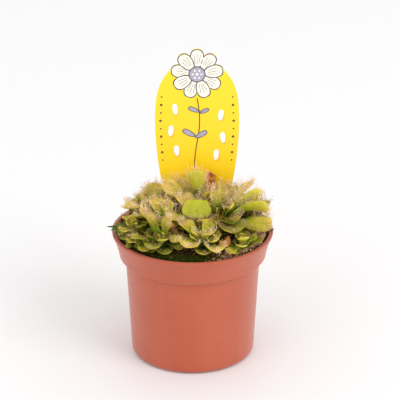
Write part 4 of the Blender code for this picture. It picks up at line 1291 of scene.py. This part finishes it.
def build_stem_print(inks):
    """The long stem under the flower, with two pairs of small leaves."""
    line = np.array([(0.0014 * math.sin(5.0 * t), 0.1432 - 0.042 * t) for t in np.linspace(0, 1, 26)])
    half = np.array([STEM_HALF_WIDTH, 0.0])
    add_print("print_stem", [np.concatenate([line - half, (line + half)[::-1]])], [1], inks["brown"])
    shapes = [(foot, math.radians(turn), 0.0, reach, 0.26 * reach) for foot, turn, reach in STEM_LEAVES]
    add_print("print_leaf_edges", [petal(*shape) for shape in shapes], [2] * 4, inks["grey"])
    add_print("print_leaves", [petal(*shape, -LEAF_EDGE) for shape in shapes], [3] * 4, inks["lilac"])


def build_scattered_print(inks):
    """White drops falling on both sides of the stem, and a dotted border down the tag's sides."""
    drops, shades, dots = [], [], []
    for x, z, lean in PRINT_DROPS:
        turn = math.radians(90 + lean)
        drops.append(petal((x, z), turn, 0.0, 0.0064, 0.0018))
        shades.append(petal((x + 0.0003, z - 0.0008), turn, 0.0, 0.0066, 0.002))
    for side in (-1, 1):
        for number, z in enumerate(np.linspace(0.106, 0.144, 9)):
            x = side * (0.0205 - 0.05 * abs(z - 0.1285))
            dots.append(disc((x, z), 0.00075 if number % 2 else 0.0005, 16))
    add_print("print_drop_shades", shades, [1] * len(shades), inks["orange"])
    add_print("print_drops", drops, [2] * len(drops), inks["white"])
    add_print("print_dots", dots, [1] * len(dots), inks["brown"])


# Studio


def add_floor():
    bpy.ops.mesh.primitive_plane_add(size=40.0, location=(0.0, 0.0, -FLOOR_DROP))
    floor = bpy.context.object
    floor.name = "floor"
    floor.data.materials.append(Paint("floor_paint", (0.832, 0.832, 0.835), 0.6).material)


def add_camera():
    data = bpy.data.cameras.new("camera")
    data.sensor_width = 36.0
    data.lens = CAMERA_LENS
    camera = add_object("camera", data)
    camera.location = CAMERA_PLACE
    camera.rotation_euler = (math.radians(90 - CAMERA_DOWN), 0.0, math.radians(CAMERA_TURN))
    bpy.context.scene.camera = camera


def add_light(name, place, size, power):
    data = bpy.data.lights.new(name, "AREA")
    data.size = size
    data.energy = power
    light = add_object(name, data)
    light.location = place
    aim = Vector(LIGHTS_AIM) - light.location
    light.rotation_euler = aim.to_track_quat("-Z", "Y").to_euler()


def add_world():
    world = bpy.data.worlds.new("studio")
    world.use_nodes = True
    background = world.node_tree.nodes["Background"]
    background.inputs["Color"].default_value = (1.0, 0.99, 0.99, 1.0)
    background.inputs["Strength"].default_value = 0.99
    bpy.context.scene.world = world


def build_ground():
    """The pot, its soil and what lies loose on it."""
    plastic = terracotta_plastic()
    build_pot(plastic)
    build_pot_foot(plastic)
    build_soil()
    crumb = peat("crumb_peat", (0.05, 0.02, 0.007), (0.36, 0.18, 0.065))
    dry_crumb = peat("dry_peat", (0.38, 0.135, 0.065), (1.0, 0.66, 0.44))
    build_crumbs("peat_crumbs", 1300, 301, (0.0003, 0.0011), 0.0, crumb, anywhere)
    build_crumbs("rim_crumbs", 1700, 302, (0.00025, 0.00085), 0.0036, dry_crumb, right_front)
    build_crumbs("rim_crumbs_dark", 1300, 303, (0.00035, 0.00095), 0.0033, crumb, right_front)
    build_moss()


def build_plants():
    green, stalk, drop, brown = leaf_green(), hair_stalk(), dew(), dead_leaf()
    for rosette in ROSETTES:
        build_leaves(rosette, green)
        build_hairs(rosette, stalk, drop)
    for row in WITHERED:
        build_withered(*row, brown)
    build_weed(fresh_green("weed_green", (0.03, 0.065, 0.01), (0.11, 0.18, 0.028)))


def dress_tag():
    """A better material on the tag's solid, and its print."""
    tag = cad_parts["tag"]
    tag.data.materials.clear()
    tag.data.materials.append(yellow_plastic())
    inks = {name: print_ink("ink_" + name, *colours) for name, colours in INKS.items()}
    build_flower_print(inks)
    build_stem_print(inks)
    build_scattered_print(inks)


def main():
    bpy.context.scene.view_settings.view_transform = "Standard"
    add_floor()
    add_camera()
    add_world()
    for light in LIGHTS:
        add_light(*light)
    build_ground()
    build_plants()
    dress_tag()


main()
